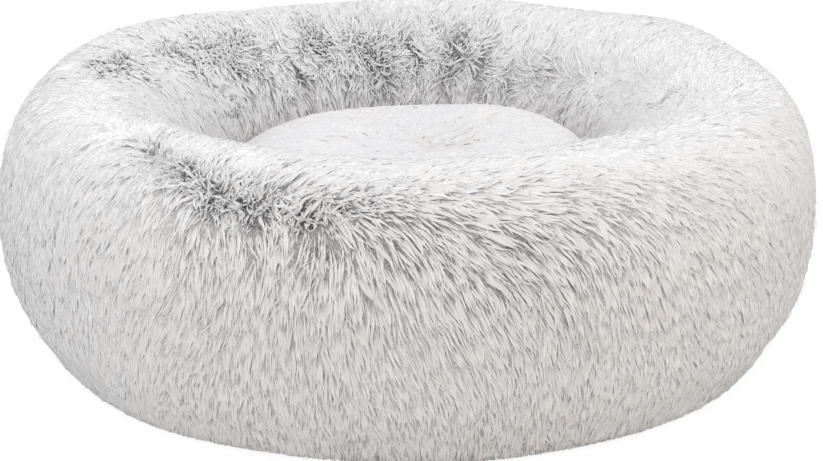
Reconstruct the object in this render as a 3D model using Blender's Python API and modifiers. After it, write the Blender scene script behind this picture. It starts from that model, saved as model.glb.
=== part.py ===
"""A round pet bed: a stuffed long-pile bolster ring round a domed seat, on a zipped fabric base.

Metres, +Z up. The origin is on the floor under the middle of the bed, and the front is at -Y.
"""
import math

import bmesh
import bpy
from mathutils import Matrix

# The bed as it stands on the floor, measured to the middle of the pile.
BED_DIAMETER = 0.600
BED_HEIGHT = 0.200
BOLSTER_WIDTH = 0.150
WAIST_HEIGHT = 0.100
CREST_SHARE = 0.427

# How round each quarter of the tube's section is: 1 is an ellipse, and less is squarer.
OUTER_TOP_ROUND_SHARE = 0.8
OUTER_LOW_ROUND_SHARE = 0.976
INNER_TOP_ROUND_SHARE = 1.0
INNER_LOW_ROUND_SHARE = 0.909

# Where the covers are sewn, as turns round the tube's section in degrees: 0 is the outer waist.
OUTER_SEAM_TURN = -62
INNER_SEAM_TURN = 238
LINING_TUCK_TURN = 5
LINER_SLIT_TURN = 2

# Fabric and stuffing.
PILE_THICKNESS = 0.010
SEAT_PILE_THICKNESS = 0.008
SEAM_THICKNESS = 0.003
LINER_THICKNESS = 0.001
BASE_THICKNESS = 0.0015
FIT_GAP = 0.0003

# The seat's dome. Its loose stuffing leaves it leaning to one side, with shallow troughs between
# its lobes. SEAT_LOBE_ANGLE is where one lobe stands, in degrees round the bed.
SEAT_CROWN_HEIGHT = 0.150
SEAT_CREST_RADIUS = 0.070
SEAT_DIMPLE_DEPTH = 0.010
SEAT_ROUND_SHARE = 0.909
SEAT_LEAN = 0.016
SEAT_LOBES = 3
SEAT_LOBE_DEPTH = 0.006
SEAT_LOBE_ANGLE = 41
SEAT_SIDE_POINTS = 5
SEAT_DOME_POINTS = 6
SEAT_DIMPLE_POINTS = 3

# The nest wall is puckered where the sleeve is gathered onto the inner seam.
GATHERS = 16
GATHER_DEPTH = 0.007
GATHER_START_TURN = 100
GATHER_LEAN_SHARE = 0.8

# Hollows where the long pile falls apart: angle round the bed, turn round the tube, and how much
# of the full depth each has. They stay inside the pile, over an even backing.
PARTING_DEPTH = 0.006
PARTING_REACH = 0.017
PARTINGS = (
    (178, 102, 0.8), (152, 115, 0.8), (136, 119, 1.0), (145, 146, 0.8), (110, 128, 0.7),
    (91, 138, 1.0), (70, 138, 0.6), (50, 140, 0.5), (356, 124, 0.4), (226, 76, 0.5),
    (237, 62, 0.8), (247, 51, 1.0), (257, 50, 1.0),
)

# How finely the turned and lofted forms are faceted.
STATIONS_PER_GATHER = 5
COVER_POINTS = 25
CORE_TURN_STEP = 30
CORE_STATIONS = 32
SEAT_STATIONS = 40
SLEEVE_SEAM_STATION = 56
SMOOTH_ANGLE = 40

# The liners' filling slit.
PORT_LENGTH = 0.060
PORT_WIDTH = 0.002
PORT_OFFSET = 0.090

# The zip: tapes, teeth and stops.
TAPE_LENGTH = 0.245
TAPE_WIDTH = 0.0118
TAPE_THICKNESS = 0.0007
TAPE_SPACING = 0.0044
TOOTH_PITCH = 0.0038
TOOTH_THICKNESS = 0.0024
TOOTH_OVERLAP = 0.0013
TOOTH_GRIP = 0.0010
TOOTH_TAPER_SHARE = 0.1875
STOP_LENGTH = 0.004
STOP_GRIP = 0.0014
TOP_STOP_INSET = 0.004
BOTTOM_STOP_INSET = 0.018
STOP_THICKNESS = 0.0040
STOP_WALL = 0.0012

# The slider that rides on the teeth, and its pull.
SLIDER_LENGTH = 0.014
SLIDER_WALL = 0.0009
SLIDER_FLARE = 0.0017
SLIDER_SHOULDER_SHARE = 0.35
WING_THICKNESS = 0.0012
WING_EDGE_RADIUS = 0.0004
WING_EDGE_ANGLE = 60
POST_WIDTH = 0.0034
POST_LENGTH = 0.0070
POST_TIP_SHARE = 0.1
POST_NOSE_SHARE = 0.35
SLOT_CLEARANCE = 0.0004
LUG_LENGTH = 0.0080
LUG_WIDTH = 0.0022
LUG_BAR = 0.0009
LUG_POST = 0.0015
LUG_FLOOR_CLEARANCE = 0.0010
PULL_ROOM = 0.0004
PULL_LENGTH = 0.022
PULL_WIDTH = 0.0070
PULL_THICKNESS = 0.0012
PULL_CORNER = 0.0012
PULL_RAIL = 0.0018
PULL_WINDOW = 0.0055
PULL_EYE_RADIUS = 0.0017
PULL_EYE_SIDES = 12

# The facing round the zip, which joins the tapes to the base.
FACING_THICKNESS = 0.001
FACING_OPENING_WIDTH = 0.013
FACING_LAND = 0.008
FACING_RAMP = 0.006
FACING_HEM = 0.0065
FACING_CORNER = 0.004
FACING_END_CLEARANCE = 0.001

# Cuts run past what they cut by this much, and a turned form's ends join within this much.
OVERRUN = 0.002
MERGE_DISTANCE = 0.00005

BED_RADIUS = BED_DIAMETER / 2
OUTER_HALF = BOLSTER_WIDTH * CREST_SHARE
INNER_HALF = BOLSTER_WIDTH - OUTER_HALF
CREST_RADIUS = BED_RADIUS - OUTER_HALF
STATIONS = GATHERS * STATIONS_PER_GATHER
SEAM_ANGLE = (SLEEVE_SEAM_STATION + 0.5) * math.tau / STATIONS
FLOOR_LEVEL = BASE_THICKNESS + FIT_GAP

HINGE_HEIGHT = LUG_FLOOR_CLEARANCE + LUG_BAR + PULL_ROOM + PULL_THICKNESS / 2
WING_LOW = HINGE_HEIGHT + PULL_THICKNESS / 2 + PULL_ROOM
CHAIN_HEIGHT = WING_LOW + WING_THICKNESS + FIT_GAP + TOOTH_THICKNESS / 2
SLIDER_TOP = CHAIN_HEIGHT + TOOTH_THICKNESS / 2 + FIT_GAP + WING_THICKNESS
TAPE_EDGE = TAPE_SPACING / 2
TAPE_OUTSIDE = TAPE_EDGE + TAPE_WIDTH
CHAIN_HALF = TAPE_EDGE + TOOTH_GRIP
TAPE_END = TAPE_LENGTH / 2
TOP_STOP_FACE = TAPE_END - TOP_STOP_INSET - STOP_LENGTH
BOTTOM_STOP_FACE = STOP_LENGTH + BOTTOM_STOP_INSET - TAPE_END
SLIDER_FRONT = TOP_STOP_FACE - FIT_GAP
SLIDER_REAR = SLIDER_FRONT - SLIDER_LENGTH
HINGE_X = SLIDER_FRONT - SLIDER_LENGTH / 2

FUR = ("fur", (0.79, 0.78, 0.77, 1.0), 0.95, 0.0)
SEAT_FUR = ("seat_fur", (0.86, 0.86, 0.86, 1.0), 0.95, 0.0)
LINER = ("liner", (0.86, 0.86, 0.84, 1.0), 0.9, 0.0)
FIBRE = ("fibre", (0.92, 0.92, 0.91, 1.0), 0.95, 0.0)
BASE_CLOTH = ("base_cloth", (0.33, 0.34, 0.36, 1.0), 0.85, 0.0)
ZIP_TAPE = ("zip_tape", (0.28, 0.29, 0.31, 1.0), 0.8, 0.0)
ZIP_METAL = ("zip_metal", (0.55, 0.56, 0.58, 1.0), 0.35, 1.0)


def clear_scene():
    for item in list(bpy.data.objects):
        bpy.data.objects.remove(item, do_unlink=True)


def new_collection(name):
    collection = bpy.data.collections.new(name)
    bpy.context.scene.collection.children.link(collection)
    return collection


def make_material(name, colour, roughness, metallic):
    material = bpy.data.materials.new(name)
    material.use_nodes = True
    shader = material.node_tree.nodes["Principled BSDF"]
    shader.inputs["Base Color"].default_value = colour
    shader.inputs["Roughness"].default_value = roughness
    shader.inputs["Metallic"].default_value = metallic
    material.diffuse_color = colour
    return material


def add_object(name, mesh, finish, collection):
    item = bpy.data.objects.new(name, mesh)
    collection.objects.link(item)
    if finish:
        mesh.materials.append(make_material(name + "_" + finish[0], *finish[1:]))
    return item


def add_cutter(mesh):
    item = add_object(mesh.name, mesh, None, bpy.data.collections["cutters"])
    item.hide_render = True
    item.display_type = "WIRE"
    return item


def mesh_from(work, name):
    bmesh.ops.recalc_face_normals(work, faces=work.faces)
    mesh = bpy.data.meshes.new(name)
    work.to_mesh(mesh)
    work.free()
    return mesh


def shade(item):
    item.data.shade_smooth()
    item.data.set_sharp_from_angle(angle=math.radians(SMOOTH_ANGLE))


def boolean(item, cutter, operation="DIFFERENCE"):
    step = item.modifiers.new(operation.lower() + "_" + cutter.name, "BOOLEAN")
    step.operation = operation
    step.object = cutter


def add_turned(name, profile, stations, finish, collection, closed=False):
    """An object turned from a profile of (radius, height) points, listed down its outer side."""
    work = bmesh.new()
    points = [work.verts.new((radius, 0, height)) for radius, height in profile]
    for start, end in zip(points, points[1:]):
        work.edges.new((start, end))
    if closed:
        work.edges.new((points[-1], points[0]))
    mesh = bpy.data.meshes.new(name)
    work.to_mesh(mesh)
    work.free()
    item = add_object(name, mesh, finish, collection)
    turn = item.modifiers.new("turn", "SCREW")
    turn.steps = stations
    turn.render_steps = stations
    turn.use_merge_vertices = True
    turn.merge_threshold = MERGE_DISTANCE
    turn.use_normal_calculate = True
    return item


def prism(name, outline, low, high, along="Z"):
    """A prism on an outline of (x, y) points from low to high, or of (x, z) points along Y."""
    work = bmesh.new()
    corners = []
    for across, up in outline:
        place = (across, up, low) if along == "Z" else (across, low, up)
        corners.append(work.verts.new(place))
    face = work.faces.new(corners)
    lift = (0, 0, high - low) if along == "Z" else (0, high - low, 0)
    raised = bmesh.ops.extrude_face_region(work, geom=[face])["geom"]
    moved = [part for part in raised if isinstance(part, bmesh.types.BMVert)]
    bmesh.ops.translate(work, verts=moved, vec=lift)
    return mesh_from(work, name)


def box(name, low, high):
    work = bmesh.new()
    size = [top - bottom for bottom, top in zip(low, high)]
    middle = [(top + bottom) / 2 for bottom, top in zip(low, high)]
    place = Matrix.Translation(middle) @ Matrix.Diagonal((*size, 1))
    bmesh.ops.create_cube(work, size=1, matrix=place)
    return mesh_from(work, name)


def facet_sag(radius, stations):
    """How far a facet's middle lies inside the circle that its corners are on."""
    return radius * (1 - math.cos(math.pi / stations))


def tube_point(turn, outer_half, inner_half, top, bottom):
    """A point (radius, height) of the tube's section at a turn in degrees, 90 at the crest."""
    across = math.cos(math.radians(turn))
    up = math.sin(math.radians(turn))
    half = outer_half if across > 0 else inner_half
    if up > 0:
        power = OUTER_TOP_ROUND_SHARE if across > 0 else INNER_TOP_ROUND_SHARE
        rise = top - WAIST_HEIGHT
    else:
        power = OUTER_LOW_ROUND_SHARE if across > 0 else INNER_LOW_ROUND_SHARE
        rise = WAIST_HEIGHT - bottom
    radius = CREST_RADIUS + math.copysign(half * abs(across) ** power, across)
    height = WAIST_HEIGHT + math.copysign(rise * abs(up) ** power, up)
    return radius, height


def spread(start, end, count):
    return [start + (end - start) * step / (count - 1) for step in range(count)]


def core_turns(start, end):
    """The turns from start to end at which the lining and the core both have a point."""
    first = math.ceil(start / CORE_TURN_STEP) * CORE_TURN_STEP
    between = [turn for turn in range(first, math.ceil(end), CORE_TURN_STEP) if start < turn < end]
    return [start] + between + [end]


def pile_point(turn):
    return tube_point(turn, OUTER_HALF, INNER_HALF, BED_HEIGHT, 0)


COVER_TURNS = spread(OUTER_SEAM_TURN, INNER_SEAM_TURN, COVER_POINTS)


def lining_point(turn):
    """A point of the cover's inside."""
    skin = PILE_THICKNESS
    low = BASE_THICKNESS
    return tube_point(turn, OUTER_HALF - skin, INNER_HALF - skin, BED_HEIGHT - skin, low)


def core_point(turn, inset):
    """The stuffed core, clear of the lining at the flats of its own coarser facets."""
    room = FIT_GAP + facet_sag(CREST_RADIUS, CORE_STATIONS)
    skin = PILE_THICKNESS + room + inset
    low = FLOOR_LEVEL + inset
    return tube_point(turn, OUTER_HALF - skin, INNER_HALF - skin, BED_HEIGHT - skin, low)


def pucker(turn, angle):
    """How far the nest wall is drawn back into the tube at this turn and angle."""
    share = (turn - GATHER_START_TURN) / (INNER_SEAM_TURN - GATHER_START_TURN)
    share = max(0.0, min(1.0, share))
    weight = math.sin(math.pi * share ** GATHER_LEAN_SHARE) ** 2
    phase = GATHERS * (angle - SEAM_ANGLE - math.pi / STATIONS)
    return GATHER_DEPTH * weight * (1 + math.cos(phase)) / 2


def parting(turn, angle):
    """How deep the pile has fallen apart at this turn and angle."""
    radius, height = pile_point(turn)
    deepest = 0
    for bed_angle, tube_turn, share in PARTINGS:
        middle_radius, middle_height = pile_point(tube_turn)
        swing = math.remainder(angle - math.radians(bed_angle), math.tau)
        across = math.hypot(radius - middle_radius, height - middle_height)
        away = math.hypot(across, swing * radius) / PARTING_REACH
        deepest = max(deepest, share * math.exp(-(away**2)))
    return PARTING_DEPTH * deepest


def cover_section(angle):
    """The sleeve's closed section at one angle round the bed, as (radius, height) points."""
    outside = []
    for turn in COVER_TURNS:
        radius, height = pile_point(turn)
        sunk = parting(turn, angle)
        inward = -sunk * math.cos(math.radians(turn))
        if radius < CREST_RADIUS:
            inward = max(inward, pucker(turn, angle))
        outside.append((radius + inward, height - sunk * math.sin(math.radians(turn))))
    first = OUTER_SEAM_TURN + LINING_TUCK_TURN
    last = INNER_SEAM_TURN - LINING_TUCK_TURN
    inside = [lining_point(turn) for turn in core_turns(first, last)]
    return outside + inside[::-1]


def build_sleeve(name, start, end, collection):
    """One strip of the sleeve, lofted between its two end seams."""
    waist = BED_RADIUS - BOLSTER_WIDTH
    shift = FIT_GAP / 2 / waist
    step = math.tau / STATIONS
    inner = [station * step for station in range(-STATIONS, 3 * STATIONS)]
    angles = [start + shift]
    angles += [angle for angle in inner if start + step / 4 < angle < end - step / 4]
    angles += [end - shift]
    work = bmesh.new()
    rings = []
    for angle in angles:
        ring = []
        for radius, height in cover_section(angle):
            place = (radius * math.cos(angle), radius * math.sin(angle), height)
            ring.append(work.verts.new(place))
        rings.append(ring)
    for near, far in zip(rings, rings[1:]):
        for place in range(len(near)):
            after = (place + 1) % len(near)
            work.faces.new((near[place], near[after], far[after], far[place]))
    work.faces.new(rings[0])
    work.faces.new(rings[-1][::-1])
    item = add_object(name, mesh_from(work, name), FUR, collection)
    shade(item)
    return item


def build_bolster(collection):
    half_turn = SEAM_ANGLE + math.pi
    build_sleeve("bolster_cover_right", SEAM_ANGLE, half_turn, collection)
    build_sleeve("bolster_cover_left", half_turn, SEAM_ANGLE + math.tau, collection)
    turns = core_turns(LINER_SLIT_TURN - 90, 270 - LINER_SLIT_TURN)[::-1]
    outside = [core_point(turn, 0) for turn in turns]
    inside = [core_point(turn, LINER_THICKNESS) for turn in turns]
    add_turned("bolster_liner", outside + inside[::-1], CORE_STATIONS, LINER, collection, True)
    inset = LINER_THICKNESS + FIT_GAP
    loop = [core_point(turn, inset) for turn in range(270, -90, -CORE_TURN_STEP)]
    add_turned("bolster_fill", loop, CORE_STATIONS, FIBRE, collection, True)


def offset_profile(profile, distances):
    """A profile moved to its inner side, which is to the right on the way down from the axis."""
    moved = []
    for place, (radius, height) in enumerate(profile):
        before = profile[max(place - 1, 0)]
        after = profile[min(place + 1, len(profile) - 1)]
        run = (after[0] - before[0], after[1] - before[1])
        length = math.hypot(*run)
        normal = (run[1] / length, -run[0] / length)
        shift = distances[place]
        moved.append((radius + normal[0] * shift, height + normal[1] * shift))
    return moved


def seat_profile():
    """The seat's outside from its middle to the inner seam, as (radius, height) points."""
    dimple = []
    for share in spread(0, 1, SEAT_DIMPLE_POINTS + 1)[:-1]:
        depth = SEAT_DIMPLE_DEPTH * math.cos(math.pi / 2 * share) ** 2
        dimple.append((SEAT_CREST_RADIUS * share, SEAT_CROWN_HEIGHT - depth))
    room = FIT_GAP + facet_sag(CREST_RADIUS, STATIONS)
    wall = [pile_point(turn) for turn in COVER_TURNS[-SEAT_SIDE_POINTS:]]
    side = offset_profile(wall, [room] * len(wall))
    edge_radius, edge_height = side[0]
    dome = []
    for turn in spread(math.pi / 2, 0, SEAT_DOME_POINTS)[:-1]:
        reach = math.cos(turn) ** SEAT_ROUND_SHARE
        rise = math.sin(turn) ** SEAT_ROUND_SHARE
        radius = SEAT_CREST_RADIUS + (edge_radius - SEAT_CREST_RADIUS) * reach
        dome.append((radius, edge_height + (SEAT_CROWN_HEIGHT - edge_height) * rise))
    return dimple + dome + side


def seat_skins(profile):
    """The pile's thickness at each point: full over the dome, thin at the seam."""
    full = len(profile) - SEAT_SIDE_POINTS
    taper = spread(SEAT_PILE_THICKNESS, SEAM_THICKNESS, SEAT_SIDE_POINTS)
    return [SEAT_PILE_THICKNESS] * full + taper


def seat_core(profile, inset):
    """The stuffed seat inside its cover, closed across the bottom where it lies on the base."""
    room = FIT_GAP + facet_sag(CREST_RADIUS, SEAT_STATIONS)
    depths = [skin + room for skin in seat_skins(profile)]
    foot = offset_profile(profile, depths)[-1][0] - inset
    shell = offset_profile(profile, [depth + inset for depth in depths])
    shell = [(min(radius, foot), height) for radius, height in shell]
    shell[0] = (0, shell[0][1])
    low = FLOOR_LEVEL + inset
    return shell + [(foot, low), (0, low)]


def leaning_shares(profile):
    """For each point of the seat's outside, how far it joins in the dome's lean and its lobes."""
    shares = []
    for radius, height in profile:
        rise = (height - WAIST_HEIGHT) / (SEAT_CROWN_HEIGHT - WAIST_HEIGHT)
        lean = 1 if radius < SEAT_CREST_RADIUS else max(0, rise) ** 2
        shares.append((lean, lean * min(1, radius / SEAT_CREST_RADIUS)))
    return shares


def add_leaning(name, profile, shares, stations, finish, collection):
    """A form lofted from the axis out, round and back to it, on rings that lean and lobe."""
    work = bmesh.new()
    rings = []
    for (radius, height), (lean, lobing) in zip(profile, shares):
        ring = []
        for station in range(stations if radius else 1):
            angle = station * math.tau / stations
            trough = 1 - math.cos(SEAT_LOBES * (angle - math.radians(SEAT_LOBE_ANGLE)))
            x = radius * math.cos(angle) + SEAT_LEAN * lean
            z = height - SEAT_LOBE_DEPTH / 2 * trough * lobing
            ring.append(work.verts.new((x, radius * math.sin(angle), z)))
        rings.append(ring)
    for near, far in zip(rings, rings[1:]):
        for station in range(stations):
            after = station + 1
            corners = [near[station % len(near)], near[after % len(near)]]
            corners += [far[after % len(far)], far[station % len(far)]]
            work.faces.new(list(dict.fromkeys(corners)))
    bmesh.ops.triangulate(work, faces=work.faces, quad_method="FIXED")
    return add_object(name, mesh_from(work, name), finish, collection)


def rounded_rectangle(half_x, half_y, radius, per_corner=3):
    points = []
    for corner in range(4):
        side_x = 1 if corner in (0, 3) else -1
        side_y = 1 if corner in (0, 1) else -1
        for turn in spread(corner * 90, corner * 90 + 90, per_corner):
            along = math.cos(math.radians(turn)) * radius
            across = math.sin(math.radians(turn)) * radius
            x = side_x * (half_x - radius) + along
            points.append((x, side_y * (half_y - radius) + across))
    return points


def zip_window_half(extra):
    """Half the length and width of the window in the base, and extra all round."""
    half_x = TAPE_END + FACING_END_CLEARANCE + FACING_RAMP + extra
    half_y = FACING_OPENING_WIDTH / 2 + FACING_LAND + FACING_RAMP + extra
    return half_x, half_y


def build_seat(collection):
    outside = seat_profile()
    inside = offset_profile(outside, seat_skins(outside))
    inside[0] = (0, inside[0][1])
    shares = leaning_shares(outside)
    skin = outside + inside[::-1]
    both = shares + shares[::-1]
    shade(add_leaning("seat_cover", skin, both, SEAT_STATIONS, SEAT_FUR, collection))

    core = seat_core(outside, 0)
    still = shares + [(0, 0), (0, 0)]
    liner = add_leaning("seat_liner", core, still, CORE_STATIONS, LINER, collection)
    tunnel_roof = SLIDER_TOP + FIT_GAP
    half_x, half_y = zip_window_half(FACING_HEM + FIT_GAP)
    outline = rounded_rectangle(half_x, half_y, FACING_CORNER)
    tunnel = prism("seat_liner_tunnel", outline, -OVERRUN, tunnel_roof)
    boolean(liner, add_cutter(tunnel))
    cloth = liner.modifiers.new("cloth", "SOLIDIFY")
    cloth.thickness = LINER_THICKNESS
    cloth.offset = -1
    slit_top = FLOOR_LEVEL + LINER_THICKNESS + FIT_GAP / 2
    slit_low = (-PORT_LENGTH / 2, PORT_OFFSET - PORT_WIDTH / 2, -OVERRUN)
    slit_high = (PORT_LENGTH / 2, PORT_OFFSET + PORT_WIDTH / 2, slit_top)
    boolean(liner, add_cutter(box("seat_liner_port", slit_low, slit_high)))

    inset = LINER_THICKNESS + FIT_GAP
    core = seat_core(outside, inset)
    fill = add_leaning("seat_fill", core, still, CORE_STATIONS, FIBRE, collection)
    wide = rounded_rectangle(half_x + inset, half_y + inset, FACING_CORNER + inset)
    hollow = prism("seat_fill_tunnel", wide, -OVERRUN, tunnel_roof + inset)
    boolean(fill, add_cutter(hollow))


def build_base(collection):
    """The base: flat on the floor, turned up at its rim to the outer seam."""
    seam_gap = math.degrees(FIT_GAP / OUTER_HALF)
    turns = spread(OUTER_SEAM_TURN - seam_gap, -90, 4)
    under = [pile_point(turn) for turn in turns]
    above = offset_profile(under, [BASE_THICKNESS] * len(under))
    profile = [(0, BASE_THICKNESS)] + above[::-1] + under + [(0, 0)]
    base = add_turned("base_panel", profile, STATIONS, BASE_CLOTH, collection)
    outline = rounded_rectangle(*zip_window_half(0), FACING_CORNER)
    window = prism("base_window", outline, -OVERRUN, BASE_THICKNESS + OVERRUN)
    boolean(base, add_cutter(window))


def build_facing(collection):
    """The strip sewn round the window: a hem on the base, a ramp, and a land under the tapes."""
    land_height = CHAIN_HEIGHT - TAPE_THICKNESS / 2 - FIT_GAP - FACING_THICKNESS
    opening = FACING_OPENING_WIDTH / 2
    land_x = TAPE_END + FACING_END_CLEARANCE
    hem_x, hem_y = zip_window_half(FIT_GAP)
    rings = [
        (land_x - FACING_END_CLEARANCE * 2 - FIT_GAP, opening, land_height),
        (land_x, opening + FACING_LAND, land_height),
        (hem_x, hem_y, FLOOR_LEVEL),
        (hem_x + FACING_HEM - FIT_GAP, hem_y + FACING_HEM - FIT_GAP, FLOOR_LEVEL),
    ]
    work = bmesh.new()
    loops = []
    for half_x, half_y, height in rings:
        outline = rounded_rectangle(half_x, half_y, FACING_CORNER)
        loops.append([work.verts.new((x, y, height)) for x, y in outline])
    for near, far in zip(loops, loops[1:]):
        for place in range(len(near)):
            after = (place + 1) % len(near)
            work.faces.new((near[place], far[place], far[after], near[after]))
    mesh = bpy.data.meshes.new("zip_facing")
    work.to_mesh(mesh)
    work.free()
    facing = add_object("zip_facing", mesh, BASE_CLOTH, collection)
    cloth = facing.modifiers.new("cloth", "SOLIDIFY")
    cloth.thickness = FACING_THICKNESS
    cloth.offset = 1
    cloth.use_even_offset = True


def tooth_mesh(name, x, side):
    """One moulded tooth: narrow at its root on the tape, wide where it locks past the middle."""
    middle = (TOOTH_PITCH / 2 - FIT_GAP) / 2
    reach = TOOTH_OVERLAP
    root = CHAIN_HALF
    head_half = middle * (1 + TOOTH_TAPER_SHARE)
    root_half = middle * (1 - TOOTH_TAPER_SHARE * root / reach)
    outline = [
        (x - head_half, -side * reach),
        (x + head_half, -side * reach),
        (x + root_half, side * root),
        (x - root_half, side * root),
    ]
    low = CHAIN_HEIGHT - TOOTH_THICKNESS / 2
    return prism(name, outline, low, low + TOOTH_THICKNESS)


def build_tape(name, side, phase, collection):
    """One half of the zip: a woven tape, its row of teeth and its top stop, moulded on."""
    half = TAPE_THICKNESS / 2
    ends = sorted((side * TAPE_EDGE, side * TAPE_OUTSIDE))
    low = (-TAPE_END, ends[0], CHAIN_HEIGHT - half)
    high = (TAPE_END, ends[1], CHAIN_HEIGHT + half)
    tape = add_object(name, box(name, low, high), ZIP_TAPE, collection)

    head_half = (TOOTH_PITCH / 2 - FIT_GAP) / 2 * (1 + TOOTH_TAPER_SHARE)
    first = BOTTOM_STOP_FACE + FIT_GAP + head_half
    last = SLIDER_FRONT - FIT_GAP - POST_LENGTH - FIT_GAP - head_half
    pairs = int((last - first - TOOTH_PITCH / 2) / TOOTH_PITCH) + 1
    work = bmesh.new()
    for pair in range(pairs):
        x = first + (pair + phase / 2) * TOOTH_PITCH
        work.from_mesh(tooth_mesh("tooth", x, side))
    stop_ends = sorted((side * (TAPE_EDGE - FIT_GAP), side * (TAPE_EDGE + STOP_GRIP)))
    stop_half = STOP_THICKNESS / 2
    stop_low = (TOP_STOP_FACE, stop_ends[0], CHAIN_HEIGHT - stop_half)
    stop_high = (TOP_STOP_FACE + STOP_LENGTH, stop_ends[1], CHAIN_HEIGHT + stop_half)
    work.from_mesh(box("stop", stop_low, stop_high))
    boolean(tape, add_cutter(mesh_from(work, name + "_teeth")), "UNION")


def build_bottom_stop(collection):
    """The block that closes the chain's far end over both tapes."""
    half_y = CHAIN_HALF + STOP_WALL
    half_z = STOP_THICKNESS / 2
    low = (BOTTOM_STOP_FACE - STOP_LENGTH, -half_y, CHAIN_HEIGHT - half_z)
    high = (BOTTOM_STOP_FACE, half_y, CHAIN_HEIGHT + half_z)
    block = box("zip_bottom_stop", low, high)
    stop = add_object("zip_bottom_stop", block, ZIP_METAL, collection)
    slot_half = TAPE_THICKNESS / 2 + FIT_GAP
    for side, name in ((-1, "stop_slot_front"), (1, "stop_slot_rear")):
        ends = sorted((side * (TAPE_EDGE - FIT_GAP), side * (half_y + OVERRUN)))
        slot_low = (low[0] - OVERRUN, ends[0], CHAIN_HEIGHT - slot_half)
        slot_high = (high[0] + OVERRUN, ends[1], CHAIN_HEIGHT + slot_half)
        boolean(stop, add_cutter(box(name, slot_low, slot_high)))


def mirrored(upper):
    """A closed outline from its +y half, listed from the rear to the front."""
    return upper + [(x, -y) for x, y in reversed(upper)]


def build_slider(collection):
    """Two wings held apart by a post, with side walls that leave a slot for each tape."""
    channel = CHAIN_HALF + FIT_GAP
    narrow = channel + SLIDER_WALL
    wide = narrow + SLIDER_FLARE
    throat = SLIDER_FRONT - POST_LENGTH
    shoulder = SLIDER_FRONT - POST_LENGTH * SLIDER_SHOULDER_SHARE
    outline = mirrored([
        (SLIDER_REAR, narrow),
        (throat, narrow),
        (shoulder, wide),
        (SLIDER_FRONT, wide - SLIDER_WALL),
    ])
    block = prism("zip_slider", outline, WING_LOW, SLIDER_TOP)
    slider = add_object("zip_slider", block, ZIP_METAL, collection)
    edges = slider.modifiers.new("rounded_edges", "BEVEL")
    edges.width = WING_EDGE_RADIUS
    edges.segments = 1
    edges.limit_method = "ANGLE"
    edges.angle_limit = math.radians(WING_EDGE_ANGLE)

    chain_low = WING_LOW + WING_THICKNESS
    chain_high = SLIDER_TOP - WING_THICKNESS
    passage = mirrored([
        (SLIDER_REAR - OVERRUN, channel),
        (throat, channel),
        (shoulder, channel + SLIDER_FLARE),
        (SLIDER_FRONT + OVERRUN, channel + SLIDER_FLARE),
    ])
    boolean(slider, add_cutter(prism("slider_passage", passage, chain_low, chain_high)))
    slot_half = TAPE_THICKNESS / 2 + SLOT_CLEARANCE
    slot_low = (SLIDER_REAR - OVERRUN, -wide - OVERRUN, CHAIN_HEIGHT - slot_half)
    slot_high = (SLIDER_FRONT + OVERRUN, wide + OVERRUN, CHAIN_HEIGHT + slot_half)
    boolean(slider, add_cutter(box("slider_slot", slot_low, slot_high)))

    nose = SLIDER_FRONT - FIT_GAP - WING_EDGE_RADIUS
    post = mirrored([
        (nose - POST_LENGTH + WING_EDGE_RADIUS, POST_WIDTH * POST_TIP_SHARE),
        (nose - POST_LENGTH / 2, POST_WIDTH / 2),
        (nose, POST_WIDTH * POST_NOSE_SHARE),
    ])
    post_low = WING_LOW + WING_THICKNESS / 2
    post_high = SLIDER_TOP - WING_THICKNESS / 2
    post_mesh = prism("slider_post", post, post_low, post_high)
    boolean(slider, add_cutter(post_mesh), "UNION")

    inner = LUG_LENGTH / 2 - LUG_POST
    lug_bar_top = LUG_FLOOR_CLEARANCE + LUG_BAR
    lug = [
        (HINGE_X - LUG_LENGTH / 2, post_low),
        (HINGE_X - LUG_LENGTH / 2, LUG_FLOOR_CLEARANCE),
        (HINGE_X + LUG_LENGTH / 2, LUG_FLOOR_CLEARANCE),
        (HINGE_X + LUG_LENGTH / 2, post_low),
        (HINGE_X + inner, post_low),
        (HINGE_X + inner, lug_bar_top),
        (HINGE_X - inner, lug_bar_top),
        (HINGE_X - inner, post_low),
    ]
    lug_mesh = prism("slider_lug", lug, -LUG_WIDTH / 2, LUG_WIDTH / 2, "Y")
    boolean(slider, add_cutter(lug_mesh), "UNION")


def build_pull(collection):
    """A flat pull that hangs on the slider's lug by its end bar and lies along the chain."""
    half_y = PULL_WIDTH / 2
    bar = PULL_THICKNESS / 2
    low = HINGE_HEIGHT - bar
    high = HINGE_HEIGHT + bar
    centre = HINGE_X + bar - PULL_LENGTH / 2
    corners = rounded_rectangle(PULL_LENGTH / 2, half_y, PULL_CORNER)
    plate = prism("zip_pull_tab", [(x + centre, y) for x, y in corners], low, high)
    pull = add_object("zip_pull_tab", plate, ZIP_METAL, collection)
    rail = half_y - PULL_RAIL
    window_low = (HINGE_X - bar - PULL_WINDOW, -rail, low - OVERRUN)
    window_high = (HINGE_X - bar, rail, high + OVERRUN)
    boolean(pull, add_cutter(box("pull_window", window_low, window_high)))
    eye = bmesh.new()
    end = centre - PULL_LENGTH / 2 + half_y
    place = Matrix.Translation((end, 0, HINGE_HEIGHT))
    bmesh.ops.create_cone(
        eye,
        cap_ends=True,
        segments=PULL_EYE_SIDES,
        radius1=PULL_EYE_RADIUS,
        radius2=PULL_EYE_RADIUS,
        depth=PULL_THICKNESS + 2 * OVERRUN,
        matrix=place,
    )
    boolean(pull, add_cutter(mesh_from(eye, "pull_eye")))


def main():
    clear_scene()
    bed = new_collection("dog_bed")
    cutters = new_collection("cutters")
    cutters.hide_render = True
    build_bolster(bed)
    build_seat(bed)
    build_base(bed)
    build_facing(bed)
    build_tape("zip_tape_front", -1, 0, bed)
    build_tape("zip_tape_rear", 1, 1, bed)
    build_bottom_stop(bed)
    build_slider(bed)
    build_pull(bed)


main()
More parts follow.
